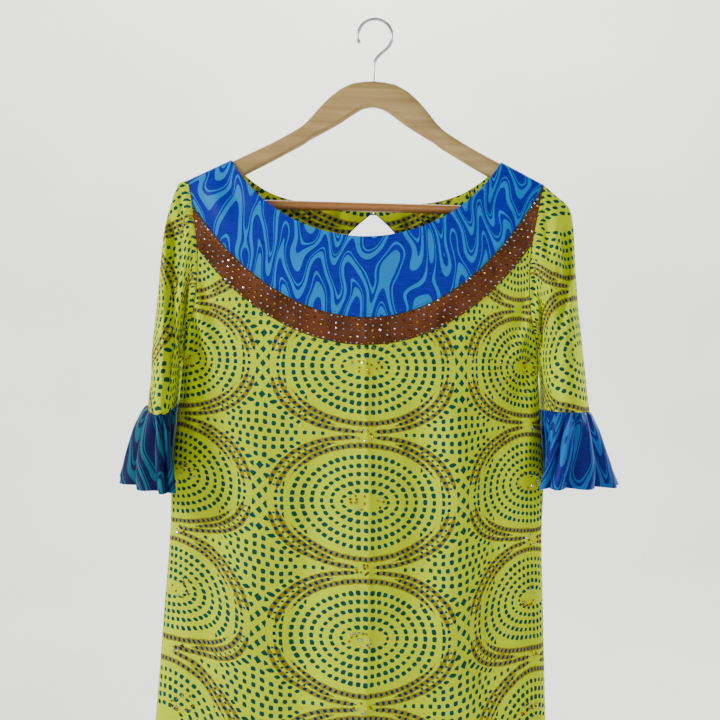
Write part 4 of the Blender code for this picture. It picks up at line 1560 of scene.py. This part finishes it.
@dataclass
class Stitching:
    """Rows of short stitches, joined in one mesh."""

    stitch: float = 3.0
    gap: float = 1.2
    radius: float = 0.28
    points: list = field(default_factory=list)
    faces: list = field(default_factory=list)

    def run(self, line: Grid, normals: Grid, lift: float = 0.12) -> None:
        """Sew along a line on the cloth.

        Args:
            line: Points along the seam.
            normals: The cloth's normals there.
            lift: How far the thread stands proud.
        """
        length = walk(line[None], 1)[0]
        total = length[-1]
        start = self.gap
        while start + self.stitch < total:
            where = np.linspace(start, start + self.stitch, 4)
            path = at_length(where, length, line)
            out = at_length(where, length, normals)
            arch = np.array([-0.25, 1.0, 1.0, -0.25])[:, None] * lift
            points, faces = tube(path + out * arch, self.radius, 4)
            first = sum(len(block) for block in self.points)
            self.points.append(points)
            self.faces += [tuple(v + first for v in face) for face in faces]
            start += self.stitch + self.gap

    def build(self, name: str, material: bpy.types.Material, slot: str) -> bpy.types.Object:
        """Build every stitch."""
        return to_object(name, np.concatenate(self.points), self.faces, None, material)


@dataclass
class Dress:
    """The dress: its panels, sleeves and ruffles, and what is sewn or set on them."""

    form: DressForm
    folds: Folds
    sleeves: tuple[Sleeve, ...]
    neck_columns: int = 74
    shoulder_columns: int = 22
    yoke_rows: int = 64
    band_rows: int = 14
    band_raise: float = 0.5
    body_rows: int = 216
    back_rows: int = 190

    def cloth_u(self, grid: Grid) -> Grid:
        """Length across the cloth from the middle line, row by row.

        Args:
            grid: Rows of points.

        Returns:
            Lengths in mm, below 0 to the left.
        """
        lengths = walk(grid, 1)
        middle = np.abs(grid[..., 0]).argmin(axis=1)
        return lengths - lengths[np.arange(len(grid)), middle][:, None] \
            + grid[np.arange(len(grid)), middle, 0][:, None]

    def with_uv(self, smooth_grid: Grid, grid: Grid) -> Grid:
        """Cloth coordinates in mm: length across from the middle, and height."""
        return np.stack([self.cloth_u(smooth_grid), grid[..., 2]], axis=-1)

    def outward(self, grid: Grid, face: Face) -> Grid:
        """Normals of a panel that face out on its own side.

        Args:
            grid: Rows of points.
            face: Front or back.

        Returns:
            Unit normals.
        """
        normals = grid_normals(grid, False)
        sign = np.sign(normals[..., 1].sum()) * face.value
        return normals * sign

    def panel(self, name: str, slot: str, smooth_grid: Grid, face: Face, material: bpy.types.Material,
              raised: float = 0.0) -> Grid:
        """Build one panel from its plain form.

        Args:
            name: Its name, the same as its node's with _cloth after it.
            slot: The record's slot.
            smooth_grid: Its form without creases.
            face: Front or back.
            material: Its finish.
            raised: How far it stands proud of its solid's form.

        Returns:
            The points with their creases.
        """
        normals = self.outward(smooth_grid, face)
        grid = self.folds.raise_points(smooth_grid, normals, 4.0) + normals * raised
        normals = self.outward(grid, face)
        uv = self.with_uv(smooth_grid, grid)
        Shell(name + "_cloth", name, slot, grid, uv, normals, self.form.wall).build(material)
        return grid

    def front_grids(self) -> dict[str, Grid]:
        """The three front pieces' plain forms, from the top down.

        Returns:
            Each piece's grid by its name.
        """
        form = self.form
        shares = form.columns(self.neck_columns, self.shoulder_columns)
        gap = form.seam / 2
        top = form.top_edge(form.front_neck)
        rows = np.linspace(0, 1, self.yoke_rows) ** 1.9
        even = np.linspace(0, 1, self.band_rows)
        down = np.linspace(0, 1, self.body_rows)
        return {
            "yoke": form.front(top, lambda x: form.band_line(x, form.band_top) + gap, shares, rows),
            "band": form.front(lambda x: form.band_line(x, form.band_top) - gap,
                               lambda x: form.band_line(x, form.band_foot) + gap, shares, even),
            "body": form.front(lambda x: form.band_line(x, form.band_foot) - gap,
                               lambda x: form.hem_z + 0 * x, shares, down),
        }

    def back_half(self, side: float) -> Grid:
        """One half of the back, from the middle outwards.

        Args:
            side: -1 for the left half and 1 for the right.

        Returns:
            Its grid of points.
        """
        form = self.form
        share = form.columns(self.neck_columns - 12, self.shoulder_columns - 4)
        tops = form.settle(form.top_edge(form.back_neck), share, side, form.keyhole_x)
        fractions = np.linspace(0, 1, self.back_rows) ** 1.45
        z = tops + (form.hem_z - tops) * fractions[:, None]
        gap = form.keyhole_gap(tops[0] - z[:, :1])
        x = form.column_x(share[None, :] + 0 * z, z, side, form.keyhole_x, gap)
        return form.panel(x, z, Face.BACK)

    def build_back(self, material: bpy.types.Material, slot: str) -> Grid:
        """Build the back as two halves that share their middle line under the keyhole.

        Args:
            material: Its finish.
            slot: The record's slot.

        Returns:
            The keyhole's edge as a closed loop.
        """
        left, right = self.back_half(-1.0), self.back_half(1.0)
        open_rows = int((np.abs(left[:, 0, 0] - right[:, 0, 0]) > 0.01).sum())
        smooth_grid = np.concatenate([left[:, ::-1], right], axis=1)
        seam = left.shape[1]
        normals = self.outward(smooth_grid, Face.BACK)
        grid = self.folds.raise_points(smooth_grid, normals, 4.0)
        uv = self.with_uv(smooth_grid, grid)
        rows, columns = grid.shape[:2]
        index = np.arange(rows * columns).reshape(rows, columns)
        index[open_rows:, seam] = index[open_rows:, seam - 1]
        faces = np.concatenate([grid_faces(index[:, :seam]), grid_faces(index[:, seam:])])
        Shell("body_back_cloth", "body_back", slot, grid, uv, normals, self.form.wall,
              faces=faces).build(material)
        return np.concatenate([grid[:open_rows + 1, seam - 1], grid[open_rows:0:-1, seam]])


@dataclass
class Hanger:
    """The wooden hanger with its bar and its steel hook, in the hook's own frame."""

    half: tuple[float, ...] = (0, 12, 25, 38, 50, 61, 71, 80.5, 93.5, 112, 132, 155, 168, 182.6, 183.2, 197,
                               204, 208.5, 210.5)
    tops: tuple[float, ...] = (-70, -70.6, -73, -79.5, -89.5, -101, -113.5, -123.5, -131.8, -142.5, -152.8,
                               -164.3, -170.8, -178.1, -178.4, -186.3, -191.8, -197.5, -203)
    depths: tuple[float, ...] = (30, 32, 38, 41, 38, 33, 26, 23, 22, 22, 22.5, 23.5, 24, 25.2, 44.4, 38, 31,
                                 22, 11)
    widths: tuple[float, ...] = (6, 6, 6, 6, 6, 6, 6, 6, 6, 6, 6, 6, 6, 6, 6, 5.2, 4.6, 3.6, 2.2)
    bar_z: float = -215.0
    bar_radius: float = 5.2
    bar_half: float = 182.4
    wire: float = 1.75
    hook_radius: float = 18.0
    shank_top: float = -46.0
    tail: float = 25.0
    section_sides: int = 28

    def arms(self, material: bpy.types.Material) -> None:
        """The arms in one piece: upright sections with rounded edges, closed to a rounded tip.

        Args:
            material: Its finish.
        """
        fine = np.unique(np.concatenate([np.linspace(0, 182.6, 120), np.linspace(183.2, 210.5, 40)]))
        rows = [np.interp(fine, self.half, values) for values in (self.tops, self.depths, self.widths)]
        smoothed = [self.soften(fine, values) for values in rows]
        stations = np.concatenate([-fine[:0:-1], fine])
        top, depth, width = (np.concatenate([values[:0:-1], values]) for values in smoothed)
        turns = circle(self.section_sides)
        corner = np.minimum(width, depth / 2)[:, None]
        upper = np.cos(turns)[None] >= 0
        centre = np.where(upper, top[:, None] - corner, top[:, None] - depth[:, None] + corner)
        rings = np.stack([np.broadcast_to(stations[:, None], centre.shape), width[:, None] * np.sin(turns),
                          centre + corner * np.cos(turns)], axis=-1)
        index = np.arange(rings[..., 0].size).reshape(-1, self.section_sides)
        faces = [tuple(quad) for quad in grid_faces(closed_rows(index)).tolist()]
        faces += [tuple(index[0].tolist()), tuple(index[-1].tolist()[::-1])]
        self.place("hanger_body_wood", "hanger_body", rings.reshape(-1, 3), faces, material, "beech")

    def soften(self, where: Grid, values: Grid) -> Grid:
        """Round a table's kinks off, but for the step where the bar goes in.

        Args:
            where: The stations along the arm.
            values: The table's values there.

        Returns:
            The rounded values.
        """
        result = values.copy()
        inner = where < 182.7
        for _ in range(3):
            moved = result.copy()
            moved[1:-1] = (result[:-2] + 2 * result[1:-1] + result[2:]) / 4
            moved[0] = (result[0] + result[1]) / 2
            keep = np.zeros(len(where), bool)
            last = int(inner.sum())
            keep[last - 2:last + 2] = True
            keep[-1] = True
            result = np.where(keep, result, moved)
        return result

    def place(self, name: str, node: str, points: Grid, faces: list, material: bpy.types.Material,
              slot: str) -> None:
        """Make a piece from points in the hook's frame, in place of its node.

        Args:
            name: The piece's name.
            node: The node that it stands for.
            points: Its points.
            faces: Its faces.
            material: Its finish.
            slot: Not used.
        """
        obj = to_object(name, points + np.array([HANGER_SHIFT, 0, 0]), faces, None, material)
        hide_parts(node)
        LOG.info("%s stands for %s", name, node)

    def bar(self, material: bpy.types.Material) -> None:
        """The round bar, with its ends let into the arms.

        Args:
            material: Its finish.
        """
        path = np.stack([np.linspace(-self.bar_half, self.bar_half, 60), np.zeros(60),
                         np.full(60, self.bar_z)], axis=-1)
        points, faces = tube(path, self.bar_radius, 32)
        self.place("hanger_bar_wood", "hanger_bar", points, faces, material, "bar_wood")

    def hook(self, material: bpy.types.Material) -> None:
        """The wire hook, from the wood over the rail to its free end.

        Args:
            material: Its finish.
        """
        radius = self.hook_radius + self.wire
        start, end = math.radians(-52), math.radians(180 + self.tail)
        turns = np.linspace(start, end, 60)
        arc = np.stack([radius * np.cos(turns), np.zeros(60), radius * np.sin(turns) - self.hook_radius],
                       axis=-1)
        foot = np.array([0.0, 0.0, self.tops[0] + 0.3])
        bend = np.array([0.0, 0.0, self.shank_top - 4.0])
        share = np.linspace(0, 1, 16)[:, None]
        shank = foot + (bend - foot) * share
        lead = arc[0] - unit(arc[1] - arc[0]) * 9.0
        turn = (1 - share) ** 3 * bend + 3 * (1 - share) ** 2 * share * (bend + np.array([0, 0, 5.0])) \
            + 3 * (1 - share) * share ** 2 * lead + share ** 3 * arc[0]
        path = np.concatenate([shank[:-1], turn[:-1], arc])
        points, faces = tube(path, self.wire, 16)
        self.place("hanger_hook_wire", "hanger_hook", points, faces, material, "steel_wire")


@dataclass
class Studio:
    """A pale floor that curves up behind, soft light and the photograph's camera."""

    floor_z: float = -1.32
    room: float = 4.4
    curve: float = 1.3
    wall_top: float = 3.4
    eye: tuple[float, float, float] = (-0.007, -1.25, -0.391)
    lens: float = 54.3
    roll: float = 1.6
    paper: str = "F3F3F1"
    paper_shade: str = "EFEFED"
    sides: int = 96

    def build(self) -> None:
        """Make the floor, the lights, the world and the camera."""
        self.sweep()
        middle = (0.0, 0.0, -0.45)
        self.light("key_window", (-2.25, -1.15, 0.75), middle, 0.8, 68.0, "FFFDF8")
        self.light("front_fill", (0.6, -2.3, 0.3), middle, 1.2, 8.0, "F4F8FF")
        self.light("back_window", (2.3, 1.2, 0.8), middle, 0.9, 62.0, "FFFFFF")
        self.light("backdrop_wash", (0.0, 2.0, 2.5), (0.0, 4.2, -0.3), 2.4, 260.0, "FFFFFF")
        world = bpy.data.worlds.new("studio_air")
        bpy.context.scene.world = world
        world.use_nodes = True
        shade = world.node_tree.nodes["Background"]
        shade.inputs["Color"].default_value = linear("F6F8FC")
        shade.inputs["Strength"].default_value = 0.1
        self.camera()

    def sweep(self) -> None:
        """Pale paper all round: a round floor that curves up to a low wall."""
        turns = np.linspace(0, math.pi / 2, 16)
        bend = self.room - self.curve + self.curve * np.sin(turns)
        reach = np.concatenate([[0.02, 2.0], bend, [self.room]])
        rise = self.curve * (1 - np.cos(turns))
        height = np.concatenate([[0.0, 0.0], rise, [self.wall_top]]) + self.floor_z
        around = circle(self.sides)
        points = [(r * math.cos(a), r * math.sin(a), z) for r, z in zip(reach.tolist(), height.tolist())
                  for a in around.tolist()]
        index = np.arange(len(points)).reshape(-1, self.sides)
        faces = grid_faces(closed_rows(index))[:, ::-1].tolist()
        mesh = bpy.data.meshes.new("paper_sweep")
        mesh.from_pydata(points, [], faces + [index[0].tolist()])
        mesh.shade_smooth()
        finish = PlainFinish("matt_backdrop_paper", "", 0.9, specular=0.2, light=self.paper,
                             dark=self.paper_shade, mottle=2.0)
        mesh.materials.append(finish.make())
        sweep = bpy.data.objects.new("paper_sweep", mesh)
        bpy.context.scene.collection.objects.link(sweep)

    def light(self, name: str, place: tuple[float, float, float], aim: tuple[float, float, float],
              size: float, power: float, tint: str) -> None:
        """Add one square soft light.

        Args:
            name: Its name.
            place: Where it stands.
            aim: The point that it faces.
            size: Its side.
            power: Its power in watts.
            tint: Its colour.
        """
        data = bpy.data.lights.new(name, "AREA")
        data.size = size
        data.energy = power
        data.color = linear(tint)[:3]
        lamp = bpy.data.objects.new(name, data)
        lamp.location = place
        lamp.rotation_euler = (Vector(aim) - Vector(place)).to_track_quat("-Z", "Y").to_euler()
        lamp.visible_camera = False
        bpy.context.scene.collection.objects.link(lamp)

    def camera(self) -> None:
        """Add the camera, level and a little rolled, as the photograph was taken."""
        data = bpy.data.cameras.new("camera")
        data.lens = self.lens
        data.sensor_width = 36.0
        camera = bpy.data.objects.new("camera", data)
        camera.matrix_world = (Matrix.Translation(self.eye) @ Matrix.Rotation(math.radians(90), 4, "X")
                               @ Matrix.Rotation(math.radians(self.roll), 4, "Z"))
        bpy.context.scene.collection.objects.link(camera)
        bpy.context.scene.camera = camera


def hand_placed_creases() -> tuple[Crease, ...]:
    """The folds that show, and similar ones on the hidden sides.

    Returns:
        The creases.
    """
    front, back, pressed, lapped = Face.FRONT, Face.BACK, Fold.PRESSED, Fold.LAPPED
    middle = ((2, -320), (6, -430), (13, -540), (16, -700), (12, -900), (8, -1180))
    left_lap = ((-231, -215), (-226, -262), (-223, -330), (-219, -380), (-217, -470))
    right_lap = ((217, -470), (220, -408), (224, -368), (233, -328), (238, -280), (236, -212))
    return (
        # The pressed fold down the middle of the front
        Crease(front, middle, 3.4, 17, 14, pressed),
        Crease(front, middle, 2.2, 4.5, 7, pressed),
        # Left underarm: short folds down towards the bust
        Crease(front, ((-190, -285), (-176, -330), (-150, -388)), -6.0, 6, 9),
        Crease(front, ((-198, -305), (-182, -352), (-156, -410)), 5.5, 7, 6),
        Crease(front, ((-201, -335), (-188, -384), (-166, -440)), -5.2, 8, 10),
        Crease(front, ((-203, -372), (-194, -430), (-180, -500)), 4.4, 9, 9),
        Crease(front, ((-150, -300), (-132, -338), (-120, -392)), 2.9, 10, 8),
        # Right underarm
        Crease(front, ((196, -285), (186, -325), (168, -380)), -6.5, 9, 6),
        Crease(front, ((200, -305), (186, -350), (162, -404)), 5.7, 6, 8),
        Crease(front, ((202, -338), (190, -390), (172, -450)), -5.2, 10, 8),
        Crease(front, ((203, -380), (196, -440), (188, -520)), 4.4, 8, 9),
        # Long soft folds of the body
        Crease(front, ((-122, -420), (-112, -560), (-120, -760)), 6.5, 24, 30),
        Crease(front, ((-44, -470), (-54, -640), (-60, -860)), -5.5, 20, 24),
        Crease(front, ((62, -400), (72, -540), (64, -700)), -4.7, 18, 22),
        Crease(front, ((100, -410), (110, -560), (102, -760)), 6.2, 24, 20),
        Crease(front, ((152, -460), (160, -620), (150, -800)), -6.0, 20, 22),
        Crease(front, ((-170, -500), (-164, -640), (-176, -820)), -5.7, 16, 20),
        # Puckers under the band
        Crease(front, ((-92, -346), (-84, -400)), 1.8, 8, 10),
        Crease(front, ((-46, -362), (-44, -410)), -1.3, 7, 9),
        Crease(front, ((58, -360), (54, -412)), -1.6, 8, 8),
        Crease(front, ((118, -334), (108, -392)), 1.9, 8, 10),
        # Yoke: a slack wave at each shoulder, and one in the middle
        Crease(front, ((-186, -186), (-168, -216), (-150, -250)), 2.4, 8, 10),
        Crease(front, ((-168, -178), (-150, -206), (-132, -236)), -2.0, 8, 9),
        Crease(front, ((182, -190), (162, -222), (140, -256)), 2.6, 9, 9),
        Crease(front, ((164, -182), (148, -206), (128, -238)), -2.0, 8, 8),
        Crease(front, ((-62, -258), (-70, -326)), 1.6, 14, 16),
        Crease(front, ((46, -258), (54, -330)), -1.6, 16, 14),
        # Left sleeve: the valley beside the cap, and the outer strip lapping over a deep shaded recess
        Crease(front, ((-211, -186), (-209, -260), (-206, -366)), -8.0, 6, 3.5),
        Crease(front, left_lap, -19.0, 9, 20, lapped),
        Crease(front, ((-239, -388), (-236, -418), (-226, -455)), -3.0, 5, 5),
        Crease(front, ((-240, -250), (-243, -330), (-242, -400)), 2.6, 6, 5),
        # Right sleeve: standing folds, and the outer layer lapping over the rest
        Crease(front, ((208, -200), (206, -240), (209, -290)), -4.5, 5, 6),
        Crease(front, ((219, -206), (217, -256), (220, -306)), 3.6, 5, 5),
        Crease(front, right_lap, -11.0, 20, 20, lapped),
        Crease(front, ((249, -290), (250, -350), (246, -415)), -2.6, 7, 8),
        Crease(front, ((206, -330), (214, -362), (221, -392)), -4.0, 5, 5),
        Crease(front, ((202, -352), (208, -386), (215, -428)), 3.2, 5, 5),
        # The back: gathers under the neckline, folds from the underarms and long soft ones
        Crease(back, ((-62, -210), (-56, -272)), 4.8, 7, 6),
        Crease(back, ((-46, -209), (-40, -284)), -4.8, 6, 6),
        Crease(back, ((-30, -208), (-30, -262)), 4.5, 5, 6),
        Crease(back, ((52, -209), (50, -284)), 4.8, 6, 6),
        Crease(back, ((68, -210), (62, -266)), -4.5, 6, 7),
        Crease(back, ((86, -212), (78, -262)), 4.2, 7, 7),
        Crease(back, ((-192, -295), (-172, -345), (-142, -400)), -7.7, 8, 10),
        Crease(back, ((-198, -322), (-180, -370), (-156, -430)), 6.7, 8, 7),
        Crease(back, ((194, -295), (176, -346), (148, -404)), -7.4, 9, 8),
        Crease(back, ((199, -325), (182, -376), (160, -440)), 6.7, 7, 9),
        Crease(back, ((-100, -400), (-90, -580), (-98, -800)), 8.3, 26, 24),
        Crease(back, ((-30, -430), (-26, -600), (-36, -820)), -7.0, 20, 22),
        Crease(back, ((40, -410), (48, -590), (40, -800)), 6.7, 22, 20),
        Crease(back, ((104, -430), (112, -600), (100, -820)), -8.0, 24, 26),
        Crease(back, ((-212, -205), (-216, -300), (-214, -440)), -10.4, 6, 6),
        Crease(back, ((-229, -230), (-232, -330), (-233, -430)), 6.4, 6, 5),
        Crease(back, ((214, -205), (218, -300), (216, -430)), -10.4, 7, 7),
        Crease(back, ((236, -225), (240, -320), (238, -420)), 8.0, 7, 8),
    )


# How far out each sleeve's outer edge has come on its way to the cuff, by the share of its length
LEFT_REACH = ((0, 0), (0.012, 0.236), (0.039, 0.36), (0.1, 0.5), (0.2, 0.667), (0.38, 0.78), (0.56, 0.85),
              (0.73, 0.94), (1, 1))
RIGHT_REACH = ((0, 0), (0.019, 0.1), (0.06, 0.32), (0.08, 0.44), (0.108, 0.53), (0.16, 0.59), (0.25, 0.63),
               (0.39, 0.67), (0.51, 0.73), (0.62, 0.8), (0.79, 0.88), (0.91, 0.94), (1, 1))


@dataclass
class Trims:
    """What is sewn or set on the dress: dark seam cords that paint the seams' shadow, piping, stones and rows of
    stitches.
    """

    dress: Dress
    # Radius of the dark cords that paint the shadow in the seams
    seam_shadow_radius: float = 0.42
    piping_radius: float = 0.9
    stone_rows: int = 5
    edge_pitch: float = 6.2
    inner_pitch: float = 8.4
    end_gap: float = 3.0
    print_stone: float = 1.15
    print_reach: float = 6.0
    neck_row: int = 19
    hem_row: int = -6
    row_ends: int = 4
    chance: np.random.Generator = field(default_factory=lambda: np.random.default_rng(7))
    gilt: Studs = field(default_factory=Studs)
    silver: Studs = field(default_factory=Studs)

    def piping(self, keyhole: Grid, material: bpy.types.Material) -> None:
        """Bind the keyhole's edge with piping."""
        points, faces = tube(keyhole, self.piping_radius, 8)
        to_object("keyhole_piping", points, faces, None, material)

    def seams(self, band: Grid, material: bpy.types.Material) -> None:
        """Lay a thin dark cord in the seams along the band and round the armholes, as painted shadow of the seams'
        grooves.

        Args:
            band: The band's points.
            material: The cord's finish, dark as painted shadow.
        """
        lines = {"band_top_seam": (band[0], False), "band_foot_seam": (band[-1], False)}
        for sleeve in self.dress.sleeves:
            loop, _ = sleeve.armhole(self.dress.form)
            lines[f"armhole_seam_{sleeve.side.name.lower()}"] = (loop * sleeve.mirror, True)
        for name, (line, closed) in lines.items():
            points, faces = tube(line, self.seam_shadow_radius, 6, closed)
            to_object(name, points, faces, None, material)

    def stones(self, band: Grid, body: Grid, gold: bpy.types.Material, silver: bpy.types.Material) -> None:
        """Set the small stones on the band, and those in the print's middles and knots.

        Args:
            band: The band's points.
            body: The front's points.
            gold: The gilt stones' finish.
            silver: The silver stones' finish.
        """
        self.band_stones(band)
        LOG.info("band stones: %d", len(self.gilt.places) + len(self.silver.places))
        self.print_stones(body)
        self.gilt.build("gilt_stones", gold, "brown_suede")
        self.silver.build("silver_stones", silver, "brown_suede")

    def band_stones(self, band: Grid) -> None:
        """Set rows of stones on the band, closer together along its two edges.

        Args:
            band: The band's points.
        """
        normals = self.dress.outward(band, Face.FRONT)
        for number, share in enumerate(np.linspace(0.06, 0.94, self.stone_rows)):
            row = share * (len(band) - 1)
            low = int(row)
            line = band[low] + (band[min(low + 1, len(band) - 1)] - band[low]) * (row - low)
            length = walk(line[None], 1)[0]
            pitch = self.edge_pitch if number in (0, self.stone_rows - 1) else self.inner_pitch
            place = self.end_gap + (number % 2) * pitch / 2
            while place < length[-1] - self.end_gap:
                at = place + self.chance.normal(0, 0.45)
                point = at_length(at, length, line)
                out = at_length(at, length, normals[low])
                point[2] += self.chance.normal(0, 0.5)
                kind = self.gilt if self.chance.random() < 0.45 else self.silver
                kind.add(point, out, self.chance.uniform(1.0, 1.3))
                place += pitch

    def print_stones(self, body: Grid) -> None:
        """Scatter stones over each patch of the front's print.

        Args:
            body: The front's points.
        """
        spots = body.reshape(-1, 3)
        out = self.dress.outward(body, Face.FRONT).reshape(-1, 3)
        for middle_x, middle_z, half_x, half_z, count in self.patches():
            for _ in range(count):
                turn, far = self.chance.uniform(0, 2 * math.pi), math.sqrt(self.chance.uniform(0.02, 1.0))
                x = middle_x + half_x * far * math.cos(turn)
                z = middle_z + half_z * far * math.sin(turn)
                near = int(((spots[:, 0] - x) ** 2 + (spots[:, 2] - z) ** 2).argmin())
                if spots[near, 2] < z - self.print_reach or abs(spots[near, 0] - x) > self.print_reach:
                    continue
                kind = self.gilt if self.chance.random() < 0.55 else self.silver
                kind.add(np.array([x, spots[near, 1] - 0.2, z]), out[near], self.print_stone)

    def patches(self) -> list[tuple[float, float, float, float, int]]:
        """Find where the front's stones lie.

        Returns:
            Middle X and Z, half width, half height and count of each patch.
        """
        patches = [(174.0, -397.0, 32.0, 34.0, 34)]
        for step in range(5):
            z = -398.5 - 150.0 * step
            x = 10.0 - 0.023 * (z + 548.5)
            patches.append((x, z, 20.0, 10.0, 17))
            patches.append((x, z - 75.0, 13.0, 7.0, 11))
            for side, shift in ((-1, 207.0), (1, 186.0)):
                patches.append((x + side * shift, -394.0 - 130.0 * step, 14.0, 12.0, 13))
                patches.append((x + side * (shift + 4.0), -459.0 - 130.0 * step, 8.0, 6.0, 7))
        return patches

    def stitches(self, yoke: Grid, body: Grid, blue: bpy.types.Material, lime: bpy.types.Material) -> None:
        """Sew the neckline's edge, the seams beside the band and the hem.

        Args:
            yoke: The yoke's points.
            body: The front's points.
            blue: The thread on the swirl print.
            lime: The thread on the dotted print.
        """
        normals = self.dress.outward(yoke, Face.FRONT)
        corner = self.dress.shoulder_columns
        ends = slice(self.row_ends, -self.row_ends)
        neck = Stitching(2.4, 1.0, 0.2)
        neck.run(yoke[self.neck_row, corner:-corner], normals[self.neck_row, corner:-corner])
        neck.run(yoke[-2, ends], normals[-2, ends])
        neck.build("neckline_stitches", blue, "swirl_wax_print")
        normals = self.dress.outward(body, Face.FRONT)
        hem = Stitching(3.2, 1.4, 0.25)
        hem.run(body[self.hem_row], normals[self.hem_row])
        hem.run(body[1, ends], normals[1, ends])
        hem.build("front_hem_stitches", lime, "dotted_wax_print")


class Materials:
    """Every finish of the dress and its hanger, made once."""

    def __init__(self) -> None:
        """Make the materials."""
        # Crisp printed cotton: matt lime with dark dots, and almost no highlight
        dotted = DottedWaxPrint("dotted_wax_print_cotton", "dotted_wax_print", 0.75, specular=0.05)
        level = DottedWaxPrint("dotted_wax_print_sleeve", "dotted_wax_print", 0.75, specular=0.05,
                               side_rise=0.0)
        self.front = dotted.make((10.0, -548.5), 0.023)
        self.back = dotted.make((4.0, -470.0), 0.0)
        self.sleeves = {Side.LEFT: level.make((40.0, -352.0), 0.0),
                        Side.RIGHT: level.make((30.0, -391.0), 0.0)}
        # Smoother printed cotton, whose soft shine lifts its blues
        swirl = ("swirl_wax_print", 0.5)
        self.yoke = SwirlWaxPrint("swirl_wax_print_cotton", *swirl, specular=0.16).make()
        self.ruffles = {
            # Left ruffle: its darker copy of the print is painted shade, for the shadow that it hangs in. The right
            # ruffle's copy is also darker than the yoke's.
            Side.LEFT: SwirlWaxPrint("swirl_wax_print_left_ruffle_painted_shade", *swirl, specular=0.16, ground="061054",
                                     ground_deep="040A38", swirl="086078").make(),
            Side.RIGHT: SwirlWaxPrint("swirl_wax_print_right_ruffle", *swirl, specular=0.16, ground="061890",
                                      ground_deep="041060", swirl="0868B4").make(),
        }
        # A nap that takes the light in, with a faint sheen at its edges
        self.suede = BrushedSuede("brushed_brown_suede", "brown_suede", 0.9, sheen=0.08, specular=0.15).make()
        # Spun thread and bias tape, dull and a little darker than the cloth beside them; the dark seam cord is painted
        # shadow
        self.blue_thread = PlainFinish("sewing_thread", "swirl_wax_print", 0.7, light="1C3F8C", dark="122C66",
                                       mottle=600).make()
        self.lime_thread = PlainFinish("lime_sewing_thread", "dotted_wax_print", 0.7, light="B9C233",
                                       dark="98A028", mottle=600).make()
        # The dark seam cord is painted shadow: it stands for the shade in the seams' grooves
        self.seam_shadow_paint = PlainFinish("painted_seam_shadow", "dotted_wax_print", 0.8, light="3A3B1A",
                                       dark="24250F", mottle=500).make()
        self.piping = PlainFinish("navy_cotton_piping", "swirl_wax_print", 0.7, light="16233F", dark="0D1730",
                                  mottle=500).make()
        # Foiled glass: facets that turn bright or dark with the light
        self.gold = PlainFinish("gilt_foiled_stones", "brown_suede", 0.16, metallic=1.0, light="C8963C",
                                dark="6E4618", mottle=240).make()
        self.silver = PlainFinish("silver_foiled_stones", "brown_suede", 0.12, metallic=1.0, light="C4C8D0",
                                  dark="66686E", mottle=240).make()
        # Satin varnish over beech: a soft broad shine on pale grain, warmer on the bar
        self.beech = VarnishedWood("satin_varnished_beech", "beech", 0.42, coat=0.15).make()
        self.bar_wood = VarnishedWood("warm_varnished_bar", "bar_wood", 0.4, coat=0.2, light="B87A3C",
                                      dark="94602C").make()
        # Drawn and polished wire: a narrow bright line along its length
        self.steel = PlainFinish("polished_steel_wire", "steel_wire", 0.2, metallic=1.0, light="C8C9CB",
                                 dark="AEB0B3").make()


def both_sleeves() -> tuple[Sleeve, ...]:
    """The two sleeves as the photo shows them, which differ in how they hang.

    Returns:
        The left one and the right one.
    """
    return (
        Sleeve(Side.LEFT, hem_z=-448.0, hem_tilt=0.15, hem_middle=225.5, hem_half=15.5, hem_wrap=6.0,
               hem_depth=62.0, pinch=15.0, reach=LEFT_REACH, cuff_middle=245.5, cuff_half=24.5,
               cuff_wrap=38.0, cuff_depth=70.0, flare=0.6),
        Sleeve(Side.RIGHT, hem_z=-442.0, hem_tilt=0.0, hem_middle=237.0, hem_half=26.0, hem_wrap=8.0,
               hem_depth=60.0, pinch=11.0, reach=RIGHT_REACH, cuff_middle=259.0, cuff_half=38.0,
               cuff_wrap=48.0, cuff_depth=72.0, flare=0.95),
    )


def build_sleeves(dress: Dress, looks: Materials) -> None:
    """Build both sleeves and their ruffles.

    Args:
        dress: The dress.
        looks: Its materials.
    """
    for sleeve in dress.sleeves:
        side = sleeve.side.name.lower()
        grid, uv = sleeve.surface(dress.form, dress.folds)
        Shell(f"sleeve_{side}_cloth", f"sleeve_{side}", "dotted_wax_print", grid, uv, sleeve.outward(grid),
              dress.form.wall, True).build(looks.sleeves[sleeve.side])
        grid, uv = sleeve.ruffle(dress.form)
        Shell(f"cuff_ruffle_{side}_cloth", f"cuff_ruffle_{side}", "swirl_wax_print", grid, uv,
              sleeve.outward(grid), dress.form.wall, True).build(looks.ruffles[sleeve.side])


def main() -> None:
    """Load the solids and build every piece."""
    logging.basicConfig(level=logging.INFO, format="%(message)s")
    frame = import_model()
    looks = Materials()
    dress = Dress(DressForm(), Folds(hand_placed_creases()), both_sleeves())
    plain = dress.front_grids()
    yoke = dress.panel("yoke_front", "swirl_wax_print", plain["yoke"], Face.FRONT, looks.yoke)
    band = dress.panel("neck_band", "brown_suede", plain["band"], Face.FRONT, looks.suede, dress.band_raise)
    body = dress.panel("body_front", "dotted_wax_print", plain["body"], Face.FRONT, looks.front)
    keyhole = dress.build_back(looks.back, "dotted_wax_print")
    build_sleeves(dress, looks)
    trims = Trims(dress)
    trims.stones(band, body, looks.gold, looks.silver)
    trims.piping(keyhole, looks.piping)
    # Dark cords in the seams, as painted shadow
    trims.seams(band, looks.seam_shadow_paint)
    trims.stitches(yoke, body, looks.blue_thread, looks.lime_thread)
    hanger = Hanger()
    hanger.arms(looks.beech)
    hanger.bar(looks.bar_wood)
    hanger.hook(looks.steel)
    for name in ("back_button", "back_loop"):
        for slot in frame["nodes"][name].material_slots:
            slot.material = looks.piping
    Studio().build()


if __name__ == "__main__":
    main()
